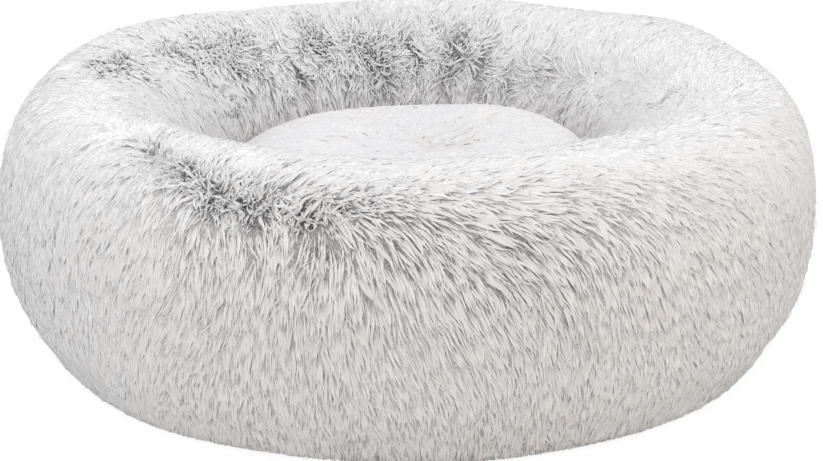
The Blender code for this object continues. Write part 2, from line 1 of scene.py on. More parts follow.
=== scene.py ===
"""The round pet bed dressed for its photograph: long pile, a plush seat and a zipped base.

Metres, +Z up. The bed stands on the floor at the origin with its front at -Y.
"""
import math

import bpy
import numpy as np
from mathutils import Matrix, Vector, kdtree


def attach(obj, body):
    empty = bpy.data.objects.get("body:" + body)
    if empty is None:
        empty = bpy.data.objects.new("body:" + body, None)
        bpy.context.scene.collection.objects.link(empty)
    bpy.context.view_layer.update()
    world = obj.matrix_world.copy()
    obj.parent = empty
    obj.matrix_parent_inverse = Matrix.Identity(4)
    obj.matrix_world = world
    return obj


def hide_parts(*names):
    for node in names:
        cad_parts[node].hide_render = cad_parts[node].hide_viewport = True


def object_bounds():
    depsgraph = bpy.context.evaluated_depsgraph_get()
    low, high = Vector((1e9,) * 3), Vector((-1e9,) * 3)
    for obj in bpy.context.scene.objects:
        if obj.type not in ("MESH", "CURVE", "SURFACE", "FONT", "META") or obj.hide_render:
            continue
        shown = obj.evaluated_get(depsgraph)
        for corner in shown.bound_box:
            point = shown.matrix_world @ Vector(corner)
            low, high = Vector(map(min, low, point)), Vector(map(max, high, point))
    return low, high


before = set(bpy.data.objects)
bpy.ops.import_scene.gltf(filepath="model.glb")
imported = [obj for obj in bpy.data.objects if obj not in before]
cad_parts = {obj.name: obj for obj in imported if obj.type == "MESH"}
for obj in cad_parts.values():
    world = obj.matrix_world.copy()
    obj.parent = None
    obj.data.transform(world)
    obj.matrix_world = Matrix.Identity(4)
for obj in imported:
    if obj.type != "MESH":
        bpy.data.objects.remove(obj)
CAD_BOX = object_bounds()

# The bolster's section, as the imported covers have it.
BED_RADIUS = CAD_BOX[1][0]
BED_HEIGHT = CAD_BOX[1][2]
OUTER_HALF = 0.0640
INNER_HALF = 0.0860
WAIST_HEIGHT = 0.100
CREST_RADIUS = BED_RADIUS - OUTER_HALF
OUTER_TOP_ROUND_SHARE = 0.8
OUTER_LOW_ROUND_SHARE = 0.976
INNER_TOP_ROUND_SHARE = 1.0
INNER_LOW_ROUND_SHARE = 0.909
OUTER_SEAM_TURN = -62
INNER_SEAM_TURN = 238
DEGREES_PER_RADIAN = 57.3

# The seat's dome, as its packed cover has it: dimpled, leaning to the right and gently lobed.
SEAT_CREST_RADIUS = 0.070
SEAT_CROWN_HEIGHT = 0.150
SEAT_DIMPLE_DEPTH = 0.010
SEAT_ROUND_SHARE = 0.909
SEAT_SIDE = (
    (0.1503, 0.0833), (0.1545, 0.0613), (0.1623, 0.0422), (0.1734, 0.0261), (0.1874, 0.0136),
)
SEAT_LEAN = 0.016
SEAT_LOBES = 3
SEAT_LOBE_DEPTH = 0.006
SEAT_LOBE_ANGLE = 41
SEAT_SWEEP = (0.7, 0.7)

# The skins under the fur: depths under the pile's tips, and how low they reach.
UNDERFUR_DEPTH = 0.0038
COARSE_DEPTH = 0.0025
SKIN_RIPPLE = 0.0020
SKIN_FLOOR = 0.0025
SEAM_SPILL = 0.0055
SEAM_SPILL_ARCS = (0.012, -0.003)
SEAT_UNDERFUR_DEPTH = -0.0014
SEAT_SKIN_SEAM_POLAR = 120
SEAT_SKIN_FLOOR = 0.014

# One lock: rings along it, their widths, and how its underside and its shading are turned.
LOCK_RINGS = (0.0, 0.38, 0.76)
LOCK_WIDTH_SHARES = (0.75, 1.0, 0.66)
UNDERSIDE_LEAN = 0.4
FLOOR_CLEARANCE = 0.0004
FLOOR_BEND = 0.0040

# The bolster's locks: where they are rooted, how they grow, and how many of each kind there are.
LONG_LOCK, COAT_LOCK, STUBBLE_LOCK = 0, 1, 2
ROOT_DEPTH = 0.0105
CALM_ROOT_DEPTH = 0.0058
ROOT_COVER = 0.0020
LOCK_LENGTH = 0.027
LOCK_WIDTH = 0.0028
LOCK_THICKNESS = 0.0018
LOCK_SPACING = 0.0026
LOCK_ROUNDNESS = 0.5
LOCK_SINK = 0.0018
TIP_RISE = -0.0030
TIP_SCATTER = 0.0020
TIP_RIPPLE = 0.0012
TIP_DROOP = 0.0014
TOUSLED_RISE = 0.002
SHARPEST_BEND = 0.5
SEAT_CONTACT_TURN = 195
LOWEST_ROOT_ARC = 0.004
LOWEST_LOOSE_ARC = 0.03
COAT_SPACING = 0.0021
COAT_LENGTH_SHARE = 0.38
COAT_DROP = 0.0015
FRINGE_COUNT = 2600
FRINGE_ARCS = (0.003, 0.010)
STUBBLE_SPACING = 0.0016
STUBBLE_LENGTHS = (0.007, 0.013)
STUBBLE_HEIGHTS = (0.0035, 0.0065)
STUBBLE_ROOT_COVER = 0.001
STUBBLE_DROP = 0.002
FLYAWAY_SHARE = 0.06
FLYAWAY_RISES = (0.0008, 0.0035)
TUFT_SPACING = 0.0065
FAN_STEP = 0.001
FAN_REACH = 0.007
TUFT_PUSH = 0.5
FUR_SECTORS = 10

# The seat's locks.
SEAT_ROOT_DEPTH = 0.0010
SEAT_LOCK_LENGTH = 0.027
SEAT_LOCK_SPACING = 0.0034
SEAT_LOCK_WIDTH = 0.0042
SEAT_LOCK_FLATNESS = 0.13
SEAT_LOCK_ROUNDNESS = 0.25
SEAT_LOCK_SINK = 0.0012
SEAT_TIP_RISE = 0.0019
SEAT_TIP_DROOP = 0.0011
SEAT_SCATTER = 0.0004
SEAT_SWIRL_RADIUS = 0.002
SEAT_SWIRL_REACH = 0.040
SEAT_DARK_REACH = 0.045
SEAT_BARE_ARC = 0.05

# Parts of the bolster: degrees round the bed and their spread, then the same round the tube.
FRONT_WALL = (272, 42, 34, 34)
HOLLOW_BACK = (104, 60, 152, 32)
# A broad patch of painted shade on the left of the rim.
LEFT_RIM_SHADE = (205, 40, 85, 30)
# Where the painted shade at the foot is strongest, at the front.
FOOT_SHADE_MIDDLE = (272, 50)
TOP_TURNS = (84, 40)
# Turns round the tube between which a share goes from 0 to 1.
FOOT_TURNS = (30, -30)
# The outer wall below the crest, darkened with painted shade.
OUTER_SHADE_TURNS = (80, 30)
LOW_WALL_TURNS = (95, 25)
INSIDE_TURNS = (120, 160)
SWIRL_TURNS = (-60, 30)
WARMEST_ANGLE = 315

# The seams on the underside: round the rim, round the window and round the zip's opening.
RIM_SEAM_RADIUS = 0.258
WINDOW_SEAM = (0.1335, 0.0245)
FACING_SEAM = (0.1225, 0.0085)
STITCH_WIDTH = 0.0009
STITCH_PITCH = 0.0036

# Looks drawn side by side on the fur's map: steps of tone, and of cool to warm.
TONES = 8
WARMTHS = 4
LOOKS = TONES * WARMTHS

# The line along which the pile parts: degrees round the bed, degrees round the tube, how far
# it shows its dark roots there, and how many degrees wide it is tousled.
PARTING_LINE = (
    (0, 122, 0.12, 16), (20, 130, 0.14, 20), (45, 142, 0.20, 26), (58, 142, 0.30, 28),
    (72, 138, 0.42, 28), (90, 136, 0.90, 24), (105, 130, 0.80, 22), (122, 126, 0.85, 24),
    (136, 122, 1.00, 20), (150, 118, 0.80, 18), (165, 108, 0.45, 15), (178, 101, 0.70, 12),
    (190, 96, 0.15, 10), (205, 90, 0.05, 10), (222, 80, 0.12, 12), (231, 70, 0.36, 13),
    (237, 62, 0.75, 14), (245, 54, 0.90, 13), (256, 50, 1.00, 12), (263, 56, 0.55, 12),
    (272, 66, 0.20, 12), (285, 78, 0.05, 12), (300, 90, 0.00, 12), (330, 106, 0.00, 12),
    (345, 114, 0.10, 14),
)
# Single tufts that stand open: the same two angles, reach in metres, and strength.
OPEN_TUFTS = (
    (62, 152, 0.010, 0.35), (92, 148, 0.010, 0.6), (90, 135, 0.011, 0.8), (145, 146, 0.012, 0.7),
    (174, 122, 0.009, 0.5), (104, 142, 0.009, 0.5), (121, 146, 0.009, 0.4), (136, 119, 0.011, 0.9),
    (152, 115, 0.010, 0.8), (110, 128, 0.009, 0.6), (178, 102, 0.010, 0.8), (40, 160, 0.009, 0.4),
    (358, 124, 0.008, 0.5), (246, 23, 0.007, 0.3), (259, 26, 0.007, 0.3), (231, 72, 0.009, 0.35),
    (238, 62, 0.010, 0.8), (244, 54, 0.009, 0.7), (249, 49, 0.010, 0.9), (256, 49, 0.009, 0.9),
    (261, 53, 0.008, 0.6),
)
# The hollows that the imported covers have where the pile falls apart: two angles and a share.
PARTING_DEPTH = 0.006
PARTING_REACH = 0.017
PARTINGS = (
    (178, 102, 0.8), (152, 115, 0.8), (136, 119, 1.0), (145, 146, 0.8), (110, 128, 0.7),
    (91, 138, 1.0), (70, 138, 0.6), (50, 140, 0.5), (356, 124, 0.4), (226, 76, 0.5),
    (237, 62, 0.8), (247, 51, 1.0), (257, 50, 1.0),
)
# The bed angle that the pile swirls away from, to the right and a little to the left.
SWIRL_ANGLE = 256
# Where the stuffing stands out or sinks: the same two angles, the spread of each, and metres.
STUFFING_LUMPS = (
    (215, 60, 30, 50, 0.0030), (146, 76, 16, 26, 0.0040), (34, 76, 14, 26, 0.0060),
    (124, 80, 9, 20, -0.0015), (316, -50, 18, 16, -0.0020), (248, -54, 14, 18, -0.0015),
)

# A Mix node's colour sockets, by place: both of its inputs and its result.
MIX_FIRST, MIX_SECOND, MIX_RESULT = 6, 7, 2
DOT_SPACING = 0.0125
DOT_ROW_SHARE = 0.866
DOT_EDGE = (0.0016, 0.0021)

# The studio: what the paper floor sends back, and what the camera sees of it.
WORLD_LIGHT = 1.0
PAPER = 0.86
PAPER_SHADOW = 0.22
PAPER_GLOW = 0.86

# The photograph's view.
FRAME_WIDTH = 823
VIEW_ELEVATION = 17.5
VIEW_DISTANCE = 1.6
VIEW_HEIGHT = 0.1
PIXELS_PER_METRE = 1344
SENSOR_WIDTH = 36
VIEW_SHIFT_PIXELS = (3.5, -34.5)

chance = np.random.default_rng(7)


def ramp(value, start, end):
    """A share that goes evenly from 0 at the start to 1 at the end."""
    return np.clip((value - start) / (end - start), 0, 1)


def near(value, middle, spread):
    """A share that is 1 at the middle and fades as a bell."""
    return np.exp(-(((value - middle) / spread) ** 2))


def feed(tree, value, socket):
    """Links a value to a socket, or sets the socket to it."""
    if isinstance(value, Maths):
        value = value.socket
    if isinstance(value, bpy.types.NodeSocket):
        tree.links.new(value, socket)
    else:
        socket.default_value = value


def add_node(tree, kind, settings=None, **sockets):
    """A node of a kind, with its settings and then its named sockets fed."""
    made = tree.nodes.new("ShaderNode" + kind)
    for name, value in (settings or {}).items():
        setattr(made, name, value)
    for name, value in sockets.items():
        feed(tree, value, made.inputs[name.replace("_", " ")])
    return made


class Maths:
    """A number socket that Python's operators work on."""

    def __init__(self, tree, socket):
        self.tree = tree
        self.socket = socket

    def made(self, operation, *values):
        node = add_node(self.tree, "Math", {"operation": operation})
        for socket, value in zip(node.inputs, values):
            feed(self.tree, value, socket)
        return Maths(self.tree, node.outputs[0])

    def __add__(self, other):
        return self.made("ADD", self, other)

    __radd__ = __add__

    def __sub__(self, other):
        return self.made("SUBTRACT", self, other)

    def __rsub__(self, other):
        return self.made("SUBTRACT", other, self)

    def __mul__(self, other):
        return self.made("MULTIPLY", self, other)

    __rmul__ = __mul__

    def __truediv__(self, other):
        return self.made("DIVIDE", self, other)

    def floor(self):
        return self.made("FLOOR", self)

    def fraction(self):
        return self.made("FRACT", self)

    def absolute(self):
        return self.made("ABSOLUTE", self)

    def sine(self):
        return self.made("SINE", self)

    def root(self):
        return self.made("SQRT", self)

    def larger(self, other):
        return self.made("MAXIMUM", self, other)

    def bearing(self, across):
        """The angle of a point at this height and this far across."""
        return self.made("ARCTAN2", self, across)

    def step(self, low, high):
        """0 below low and 1 above high, and smooth between."""
        smooth = {"interpolation_type": "SMOOTHSTEP"}
        node = add_node(self.tree, "MapRange", smooth, Value=self, From_Min=low, From_Max=high)
        return Maths(self.tree, node.outputs["Result"])


class Finish:
    """A material with one Principled shader, and a short way to add nodes to it."""

    def __init__(self, name, roughness=0.9, metallic=0.0):
        self.material = bpy.data.materials.new(name)
        self.material.use_nodes = True
        self.tree = self.material.node_tree
        self.shader = self.tree.nodes["Principled BSDF"]
        self.shader.inputs["Roughness"].default_value = roughness
        self.shader.inputs["Metallic"].default_value = metallic

    def node(self, kind, settings=None, **sockets):
        return add_node(self.tree, kind, settings, **sockets)

    def feed(self, value, socket):
        feed(self.tree, value, socket)

    def number(self, socket):
        return Maths(self.tree, socket)

    def places(self):
        """X and Y in the bed's own metres."""
        split = self.node("SeparateXYZ", Vector=self.node("TexCoord").outputs["Object"])
        return [self.number(split.outputs[axis]) for axis in "XY"]

    def noise(self, vector, scale, detail=2.0, roughness=0.5):
        made = self.node("TexNoise", Vector=vector, Scale=scale, Detail=detail, Roughness=roughness)
        return self.number(made.outputs["Fac"])

    def joined(self, x, y, z=0.0):
        return self.node("CombineXYZ", X=x, Y=y, Z=z).outputs["Vector"]

    def mixed(self, share, first, second):
        made = self.node("Mix", {"data_type": "RGBA"})
        self.feed(share, made.inputs["Factor"])
        self.feed(first, made.inputs[MIX_FIRST])
        self.feed(second, made.inputs[MIX_SECOND])
        return made.outputs[MIX_RESULT]

    def coloured(self, colour):
        self.feed(colour, self.shader.inputs["Base Color"])

    def bumped(self, height, distance, strength=1.0):
        made = self.node("Bump", Height=height, Distance=distance, Strength=strength)
        self.feed(made.outputs["Normal"], self.shader.inputs["Normal"])


def grey(level, warmth=0.0, blush=1.0):
    """A colour from an sRGB level of 0 to 255: warmer by warmth levels, and redder by blush."""
    steps = (level + warmth + blush, level, level - warmth)
    linear = [((step / 255 + 0.055) / 1.055) ** 2.4 for step in steps]
    return (*linear, 1.0)


def section(turn, depth):
    """Radius and height at a turn round the tube in degrees, at a depth under the pile's tips."""
    across = np.cos(np.radians(turn))
    up = np.sin(np.radians(turn))
    half = np.where(across > 0, OUTER_HALF, INNER_HALF) - depth
    top = np.where(across > 0, OUTER_TOP_ROUND_SHARE, INNER_TOP_ROUND_SHARE)
    low = np.where(across > 0, OUTER_LOW_ROUND_SHARE, INNER_LOW_ROUND_SHARE)
    power = np.where(up > 0, top, low)
    rise = np.where(up > 0, BED_HEIGHT - WAIST_HEIGHT - depth, WAIST_HEIGHT)
    radius = CREST_RADIUS + np.sign(across) * half * np.abs(across) ** power
    height = WAIST_HEIGHT + np.sign(up) * rise * np.abs(up) ** power
    return radius, height


TABLE_TURNS = np.arange(OUTER_SEAM_TURN, INNER_SEAM_TURN + 0.25, 0.25)
TABLE_RADII, TABLE_HEIGHTS = section(TABLE_TURNS, ROOT_DEPTH)
TABLE_STEPS = np.hypot(np.diff(TABLE_RADII), np.diff(TABLE_HEIGHTS))
TABLE_ARCS = np.concatenate([[0.0], np.cumsum(TABLE_STEPS)])


def turn_at(arc):
    """The turn at a length of arc from the outer seam, run on evenly past both seams."""
    turn = np.interp(arc, TABLE_ARCS, TABLE_TURNS)
    turn += np.minimum(arc, 0) / OUTER_HALF * DEGREES_PER_RADIAN
    turn += np.maximum(arc - TABLE_ARCS[-1], 0) / INNER_HALF * DEGREES_PER_RADIAN
    return turn


def ripple(along, round_bed, seed, finest):
    """A smooth unevenness from about -1 to 1: along is an arc in metres, round_bed an angle."""
    draw = np.random.default_rng(seed)
    total = 0.0
    for count in range(2, finest):
        waves = draw.integers(count, 2 * count + 2)
        across = draw.normal() * count * 4
        phase = draw.uniform(0, 6.28)
        total = total + np.sin(waves * round_bed + across * along + phase) / count**0.5
    return total / 2.2


def apart(angle, degrees):
    """Degrees round the bed from one place to angles in radians, from -180 to 180."""
    return (np.degrees(angle) - degrees + 180) % 360 - 180


def region(turn, angle, place):
    """A share that is 1 in the middle of a part of the bolster and fades round about it."""
    bed_angle, spread, tube_turn, tube_spread = place
    return near(apart(angle, bed_angle), 0, spread) * near(turn, tube_turn, tube_spread)


def bolster_place(arc, angle, depth):
    """Points on the bolster at arcs from the outer seam, angles round the bed and depths."""
    turn = turn_at(arc)
    radius, height = section(turn, depth)
    lump = SKIN_RIPPLE * ripple(arc, angle, 3, 7)
    for bed_angle, tube_turn, spread, tube_spread, rise in STUFFING_LUMPS:
        away = (apart(angle, bed_angle) / spread) ** 2 + ((turn - tube_turn) / tube_spread) ** 2
        lump = lump + rise * np.exp(-away)
    lump = lump + SEAM_SPILL * ramp(arc, *SEAM_SPILL_ARCS)
    radius = radius + lump * np.cos(np.radians(turn))
    height = height + lump * np.sin(np.radians(turn))
    return np.stack([radius * np.cos(angle), radius * np.sin(angle), height], -1)


def sunk(arc, angle):
    """How deep the pile has fallen apart."""
    turn = turn_at(arc)
    radius, height = section(turn, 0.0)
    deepest = np.zeros_like(arc)
    for bed_angle, tube_turn, share in PARTINGS:
        middle_radius, middle_height = section(tube_turn, 0.0)
        away_up = np.hypot(radius - middle_radius, height - middle_height)
        away_round = np.radians(apart(angle, bed_angle)) * radius
        away = np.hypot(away_up, away_round)
        deepest = np.maximum(deepest, share * near(away, 0, PARTING_REACH))
    return PARTING_DEPTH * deepest


def around(angle, column):
    """A column of the parting line at angles round the bed, joined up past a full turn."""
    line = np.array(PARTING_LINE)
    return np.interp(np.degrees(angle) % 360, line[:, 0], line[:, column], period=360)


def fanned(arc, angle):
    """An unevenness whose high spots are where locks fan out from, finer than the ripples."""
    return ripple(arc * 4, angle * 3, 12, 12)


def opened(arc, angle):
    """How far the pile is parted, how tousled it is, and its open tufts' push down and along."""
    turn = turn_at(arc)
    tousled = around(angle, 2) * near(turn, around(angle, 1), around(angle, 3))
    radius, _ = section(turn, ROOT_DEPTH)
    high = fanned(arc, angle)
    slope_up = (fanned(arc + FAN_STEP, angle) - high) / FAN_STEP
    slope_round = (fanned(arc, angle + FAN_STEP / radius) - high) / FAN_STEP
    strength = tousled * np.clip(0.30 + 0.55 * high, 0, 1)
    amount = FAN_REACH * (0.06 + tousled)
    down = amount * slope_up
    along = -amount * slope_round
    for bed_angle, tube_turn, reach, weight in OPEN_TUFTS:
        away_down = np.interp(tube_turn, TABLE_TURNS, TABLE_ARCS) - arc
        away_along = np.radians(apart(angle, bed_angle)) * radius
        distance = np.hypot(away_down, away_along) + 1e-5
        tuft = weight * near(distance, 0, reach)
        strength = np.maximum(strength, tuft)
        tousled = np.maximum(tousled, tuft)
        down = down + TUFT_PUSH * tuft * away_down / distance
        along = along + TUFT_PUSH * tuft * away_along / distance
    return strength, tousled, down, along


def combed(arc, angle):
    """The way the pile lies: a share down the outer side and a share round the bed to the right."""
    turn = turn_at(arc)
    down = np.tanh((around(angle, 1) - turn) / (8 + around(angle, 3)))
    top = near(turn, *TOP_TURNS)
    wall = ramp(turn, *SWIRL_TURNS)
    past = (apart(angle, SWIRL_ANGLE) + 14 * top + 180) % 360 - 180
    right = ramp(past, 0, 24) * ramp(past, 150, 90)
    left = ramp(past, 0, -20) * ramp(past, -60, -20)
    along = right * (2.6 * top + 0.42 * wall) - left * (0.4 * top + 0.15 * wall)
    strength, tousled, push_down, push_along = opened(arc, angle)
    down = down + push_down
    along = along + push_along
    sway = 0.22 * ripple(arc, angle, 21, 12) + 0.12 * ripple(arc * 2.3, angle * 2, 22, 14)
    down, along = down - along * sway, along + down * sway
    length = np.hypot(down, along) + 1e-6
    return down / length, along / length, strength, tousled


def deselect():
    if bpy.context.object and bpy.context.object.mode != "OBJECT":
        bpy.ops.object.mode_set(mode="OBJECT")
    bpy.ops.object.select_all(action="DESELECT")


def lock_blank():
    """One lock, a unit long and wide: three sides, cut twice and drawn to a point."""
    deselect()
    bpy.ops.mesh.primitive_cylinder_add(vertices=3, radius=0.5, depth=1, location=(0, 0, 0.5))
    blank = bpy.context.object
    bpy.ops.object.transform_apply()
    bpy.ops.object.mode_set(mode="EDIT")
    for height in LOCK_RINGS[1:]:
        bpy.ops.mesh.select_all(action="SELECT")
        bpy.ops.mesh.bisect(plane_co=(0, 0, height), plane_no=(0, 0, 1))
    bpy.ops.object.mode_set(mode="OBJECT")
    for point in blank.data.vertices:
        point.select = point.co.z > 0.999
    for edge in blank.data.edges:
        edge.select = all(blank.data.vertices[end].select for end in edge.vertices)
    for face in blank.data.polygons:
        face.select = all(blank.data.vertices[corner].select for corner in face.vertices)
    bpy.ops.object.mode_set(mode="EDIT")
    bpy.ops.mesh.merge(type="CENTER")
    bpy.ops.mesh.select_all(action="SELECT")
    bpy.ops.mesh.quads_convert_to_tris()
    bpy.ops.mesh.normals_make_consistent(inside=False)
    bpy.ops.object.mode_set(mode="OBJECT")
    for point in blank.data.vertices:
        share = np.interp(point.co.z, (*LOCK_RINGS, 1.0), (*LOCK_WIDTH_SHARES, 0.0))
        point.co.x *= share
        point.co.y *= share
    points = np.array([point.co for point in blank.data.vertices])
    faces = np.array([tuple(face.vertices) for face in blank.data.polygons])
    bpy.data.objects.remove(blank)
    return points, faces


BLANK_POINTS, BLANK_FACES = lock_blank()
BLANK_UNDER = BLANK_POINTS[BLANK_FACES][..., 1].max(1) < 0


def lock_axes(spines, outward):
    """The ways ahead along each spine, to its side, and up from the skin."""
    ahead = np.empty_like(spines)
    ahead[:, 1:-1] = spines[:, 2:] - spines[:, :-2]
    ahead[:, 0] = spines[:, 1] - spines[:, 0]
    ahead[:, -1] = spines[:, -1] - spines[:, -2]
    ahead /= np.linalg.norm(ahead, axis=2, keepdims=True) + 1e-9
    side = np.cross(outward, ahead)
    side /= np.linalg.norm(side, axis=2, keepdims=True) + 1e-9
    return ahead, side, np.cross(ahead, side)


def above_floor(height):
    """Heights that would go through the floor, bent flat above it but still some way apart."""
    room = FLOOR_BEND - FLOOR_CLEARANCE
    dip = np.minimum(height - FLOOR_BEND, 0)
    return np.maximum(height, FLOOR_BEND) - room * (1 - np.exp(dip / room))


def triangle_mesh(name, places, corners):
    """A smooth mesh of triangles, from its points and the point at each corner of each face."""
    mesh = bpy.data.meshes.new(name)
    mesh.vertices.add(len(places))
    mesh.vertices.foreach_set("co", places.astype(np.float32).ravel())
    mesh.loops.add(len(corners))
    mesh.loops.foreach_set("vertex_index", corners.astype(np.int32))
    mesh.polygons.add(len(corners) // 3)
    starts = np.arange(0, len(corners), 3, dtype=np.int32)
    mesh.polygons.foreach_set("loop_start", starts)
    mesh.update(calc_edges=True)
    mesh.shade_smooth()
    return mesh


def fur_mesh(name, spines, outward, widths, thicknesses, sinks, looks, roundness):
    """A piece of fur: the blank lock bent along each spine, with its flat side on the skin.

    spines is locks by rings by 3, and outward the same for the direction away from the skin.
    The others have one value a lock: sinks is how far its underside goes into the skin, looks
    its column of the map, and roundness how far it is shaded as a rod.
    """
    count = len(spines)
    stops = np.array((*LOCK_RINGS, 1.0))
    ring = np.abs(BLANK_POINTS[:, 2][:, None] - stops[None, :]).argmin(1)
    ahead, side, lift = lock_axes(spines, outward)
    across = BLANK_POINTS[:, 0][None, :, None] * widths[:, None, None]
    thick = BLANK_POINTS[:, 1][None, :, None] * thicknesses[:, None, None]
    bottom = (BLANK_POINTS[:, 1] < -0.01) * np.minimum(1, (1 - BLANK_POINTS[:, 2]) / 0.3)
    thick = thick - bottom[None, :, None] * sinks[:, None, None]
    places = spines[:, ring] + side[:, ring] * across + lift[:, ring] * thick
    places[..., 2] = above_floor(places[..., 2])
    size = len(BLANK_POINTS)
    corners = (BLANK_FACES[None] + (np.arange(count) * size)[:, None, None]).reshape(-1)
    mesh = triangle_mesh(name, places.reshape(-1, 3), corners)
    # The locks catch light as the soft pile that they make up, more than as single rods.
    corner = BLANK_FACES.ravel()
    turned = np.repeat(BLANK_UNDER, 3)
    rounding = BLANK_POINTS[:, 0] * roundness[:, None]
    facing = outward[:, ring] + side[:, ring] * rounding[..., None]
    under = ahead[:, ring[corner]] - lift[:, ring[corner]] * UNDERSIDE_LEAN
    facing = np.where(turned[None, :, None], under, facing[:, corner])
    facing /= np.linalg.norm(facing, axis=2, keepdims=True)
    normals = mesh.attributes.new("custom_normal", "FLOAT_VECTOR", "CORNER")
    normals.data.foreach_set("vector", facing.astype(np.float32).ravel())
    # Each lock is drawn on its own look's column of the map, from root to tip.
    share = 0.5 + BLANK_POINTS[:, 0] * 0.84
    ridge = np.where(BLANK_POINTS[:, 1] > 0.01, 0.02, 0.0)
    u = (looks[:, None] + share[None, :]) / LOOKS
    v = np.broadcast_to(0.01 + 0.96 * BLANK_POINTS[:, 2] + ridge, u.shape)
    flat = np.stack([u, v], -1).reshape(-1, 2)[corners]
    layer = mesh.uv_layers.new(name="OFBake")
    layer.uv.foreach_set("vector", flat.astype(np.float32).ravel())
    item = bpy.data.objects.new(name, mesh)
    bpy.context.scene.collection.objects.link(item)
    return item


def spread_roots(length, spacing, radius_at):
    """Roots in staggered rows: arcs along a section of this length, and angles round the bed."""
    arcs, angles = [], []
    rows = int(length / spacing)
    for row in range(rows):
        arc = (row + 0.5) * length / rows
        count = max(3, int(2 * math.pi * radius_at(arc) / spacing))
        start = chance.uniform(0, 1)
        angle = (np.arange(count) + start) * 2 * math.pi / count
        angles.append(angle + chance.uniform(-0.45, 0.45, count) * 2 * math.pi / count)
        arcs.append(arc + chance.uniform(-0.45, 0.45, count) * spacing)
    return np.concatenate(arcs), np.concatenate(angles) % (2 * math.pi)


def grown(arc, angle, length, rise, stray, place, comb, radius_at, depth):
    """Spines of locks that lie along the pile's way while they rise from their roots.

    stray is how far each lock turns off that way, in radians, and more where the pile parts. A
    lock that would fold on its way keeps the direction that it had.
    """
    spine = [place(arc, angle, np.full_like(arc, depth))]
    outer = [place(arc, angle, np.full_like(arc, depth - 0.004))]
    stops = (*LOCK_RINGS, 1.0)
    held_down = held_along = 0.0
    for before, after in zip(stops, stops[1:]):
        down, along, _, tousled = comb(arc, angle)
        folds = down * held_down + along * held_along < SHARPEST_BEND
        folds &= before > 0
        down = held_down = np.where(folds, held_down, down)
        along = held_along = np.where(folds, held_along, along)
        off = stray * (0.16 + 0.5 * tousled)
        straight, aside = np.cos(off), np.sin(off)
        down, along = down * straight - along * aside, along * straight + down * aside
        reach = (after - before) * length * (1 - 0.35 * tousled)
        arc = arc - down * reach
        angle = angle + along * reach / np.maximum(radius_at(arc), 0.02)
        share = 1 - (1 - after) ** 1.7
        height = (depth + rise + TOUSLED_RISE * tousled) * share
        spine.append(place(arc, angle, depth - height))
        outer.append(place(arc, angle, depth - height - 0.004))
    spine = np.stack(spine, 1)
    outward = np.stack(outer, 1) - spine
    outward /= np.linalg.norm(outward, axis=2, keepdims=True) + 1e-9
    return spine, outward


def tufted(spines, tuft_spines, grip):
    """Spines drawn together towards the tip of the nearest tuft, and which tuft that is."""
    tree = kdtree.KDTree(len(tuft_spines))
    for index, point in enumerate(tuft_spines[:, 0]):
        tree.insert(point, index)
    tree.balance()
    nearest = np.array([tree.find(point)[1] for point in spines[:, 0]])
    stops = np.array((*LOCK_RINGS, 1.0))
    pull = grip[:, None] * stops[None, :] ** 1.3
    target = tuft_spines[nearest]
    return spines + (target - spines) * pull[..., None], nearest


def bolster_radius(arc):
    return section(turn_at(arc), ROOT_DEPTH)[0]


def bolster_reach(arc):
    """The bolster's radius at a single arc."""
    return float(bolster_radius(np.array([arc]))[0])


def shaggy(arc, angle):
    """Where the pile looks coarse: the front of the wall, the back of the hollow, the foot."""
    turn = turn_at(arc)
    front = region(turn, angle, FRONT_WALL)
    hollow = region(turn, angle, HOLLOW_BACK)
    return front, hollow, ramp(turn, *FOOT_TURNS)


def paleness_and_painted_shade(arc, angle):
    """1 where the pile is white right down; less where dark roots show and where shade is painted.
    """
    turn = turn_at(arc)
    front, hollow, foot = shaggy(arc, angle)
    outer = ramp(turn, *OUTER_SHADE_TURNS)
    left = region(turn, angle, LEFT_RIM_SHADE)
    middle_angle, middle_spread = FOOT_SHADE_MIDDLE
    middle = near(apart(angle, middle_angle), 0, middle_spread)
    # Painted shade: the outer wall below the crest, the left rim and the foot are darkened, the
    # foot most at the front.
    calm_with_painted_shade = 0.97 - 0.20 * outer - 0.45 * left - (0.20 + 0.30 * middle) * foot
    # The coarse front wall and the parted pile show dark roots; in the hollow by the seat the
    # darkening is partly dark roots and partly painted shade.
    return calm_with_painted_shade - 0.52 * front - 0.60 * hollow - 0.75 * opened(arc, angle)[0]


def warmth(arc, angle):
    """1 where the pile is tinted warm: low on the right of the wall, and down in the hollow."""
    turn = turn_at(arc)
    low = ramp(turn, *LOW_WALL_TURNS)
    inside = ramp(turn, *INSIDE_TURNS)
    return low * (0.30 + 0.58 * np.cos(angle - math.radians(WARMEST_ANGLE))) + 0.4 * inside


def roughness(arc, angle):
    """1 where the locks are thick and stand apart, and less where the pile lies calm."""
    front, hollow, foot = shaggy(arc, angle)
    return np.clip(0.12 + front + hollow + 0.6 * foot + opened(arc, angle)[1], 0, 1)


def underfur_depth(arc, angle):
    """How deep the dense underfur lies under the tips."""
    front, hollow, foot = shaggy(arc, angle)
    coarse = np.clip(0.5 * opened(arc, angle)[1] + 0.5 * front + 0.4 * hollow + 0.4 * foot, 0, 1)
    depth = UNDERFUR_DEPTH + COARSE_DEPTH * coarse + 0.8 * sunk(arc, angle)
    return np.minimum(depth, ROOT_DEPTH)


def bolster_rise(arc, angle):
    """How far each lock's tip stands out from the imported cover, unevenly where it is rough."""
    waves = TIP_RIPPLE * ripple(arc * 3, angle * 3, 31, 12)
    uneven = chance.normal(0, TIP_SCATTER, len(arc)) + waves
    return TIP_RISE + roughness(arc, angle) * uneven - 0.5 * sunk(arc, angle)


def above_seams(arc, lowest):
    """Which roots are clear of the outer seam and above where the seat hides the pile."""
    return (arc > lowest) & (turn_at(arc) < SEAT_CONTACT_TURN)


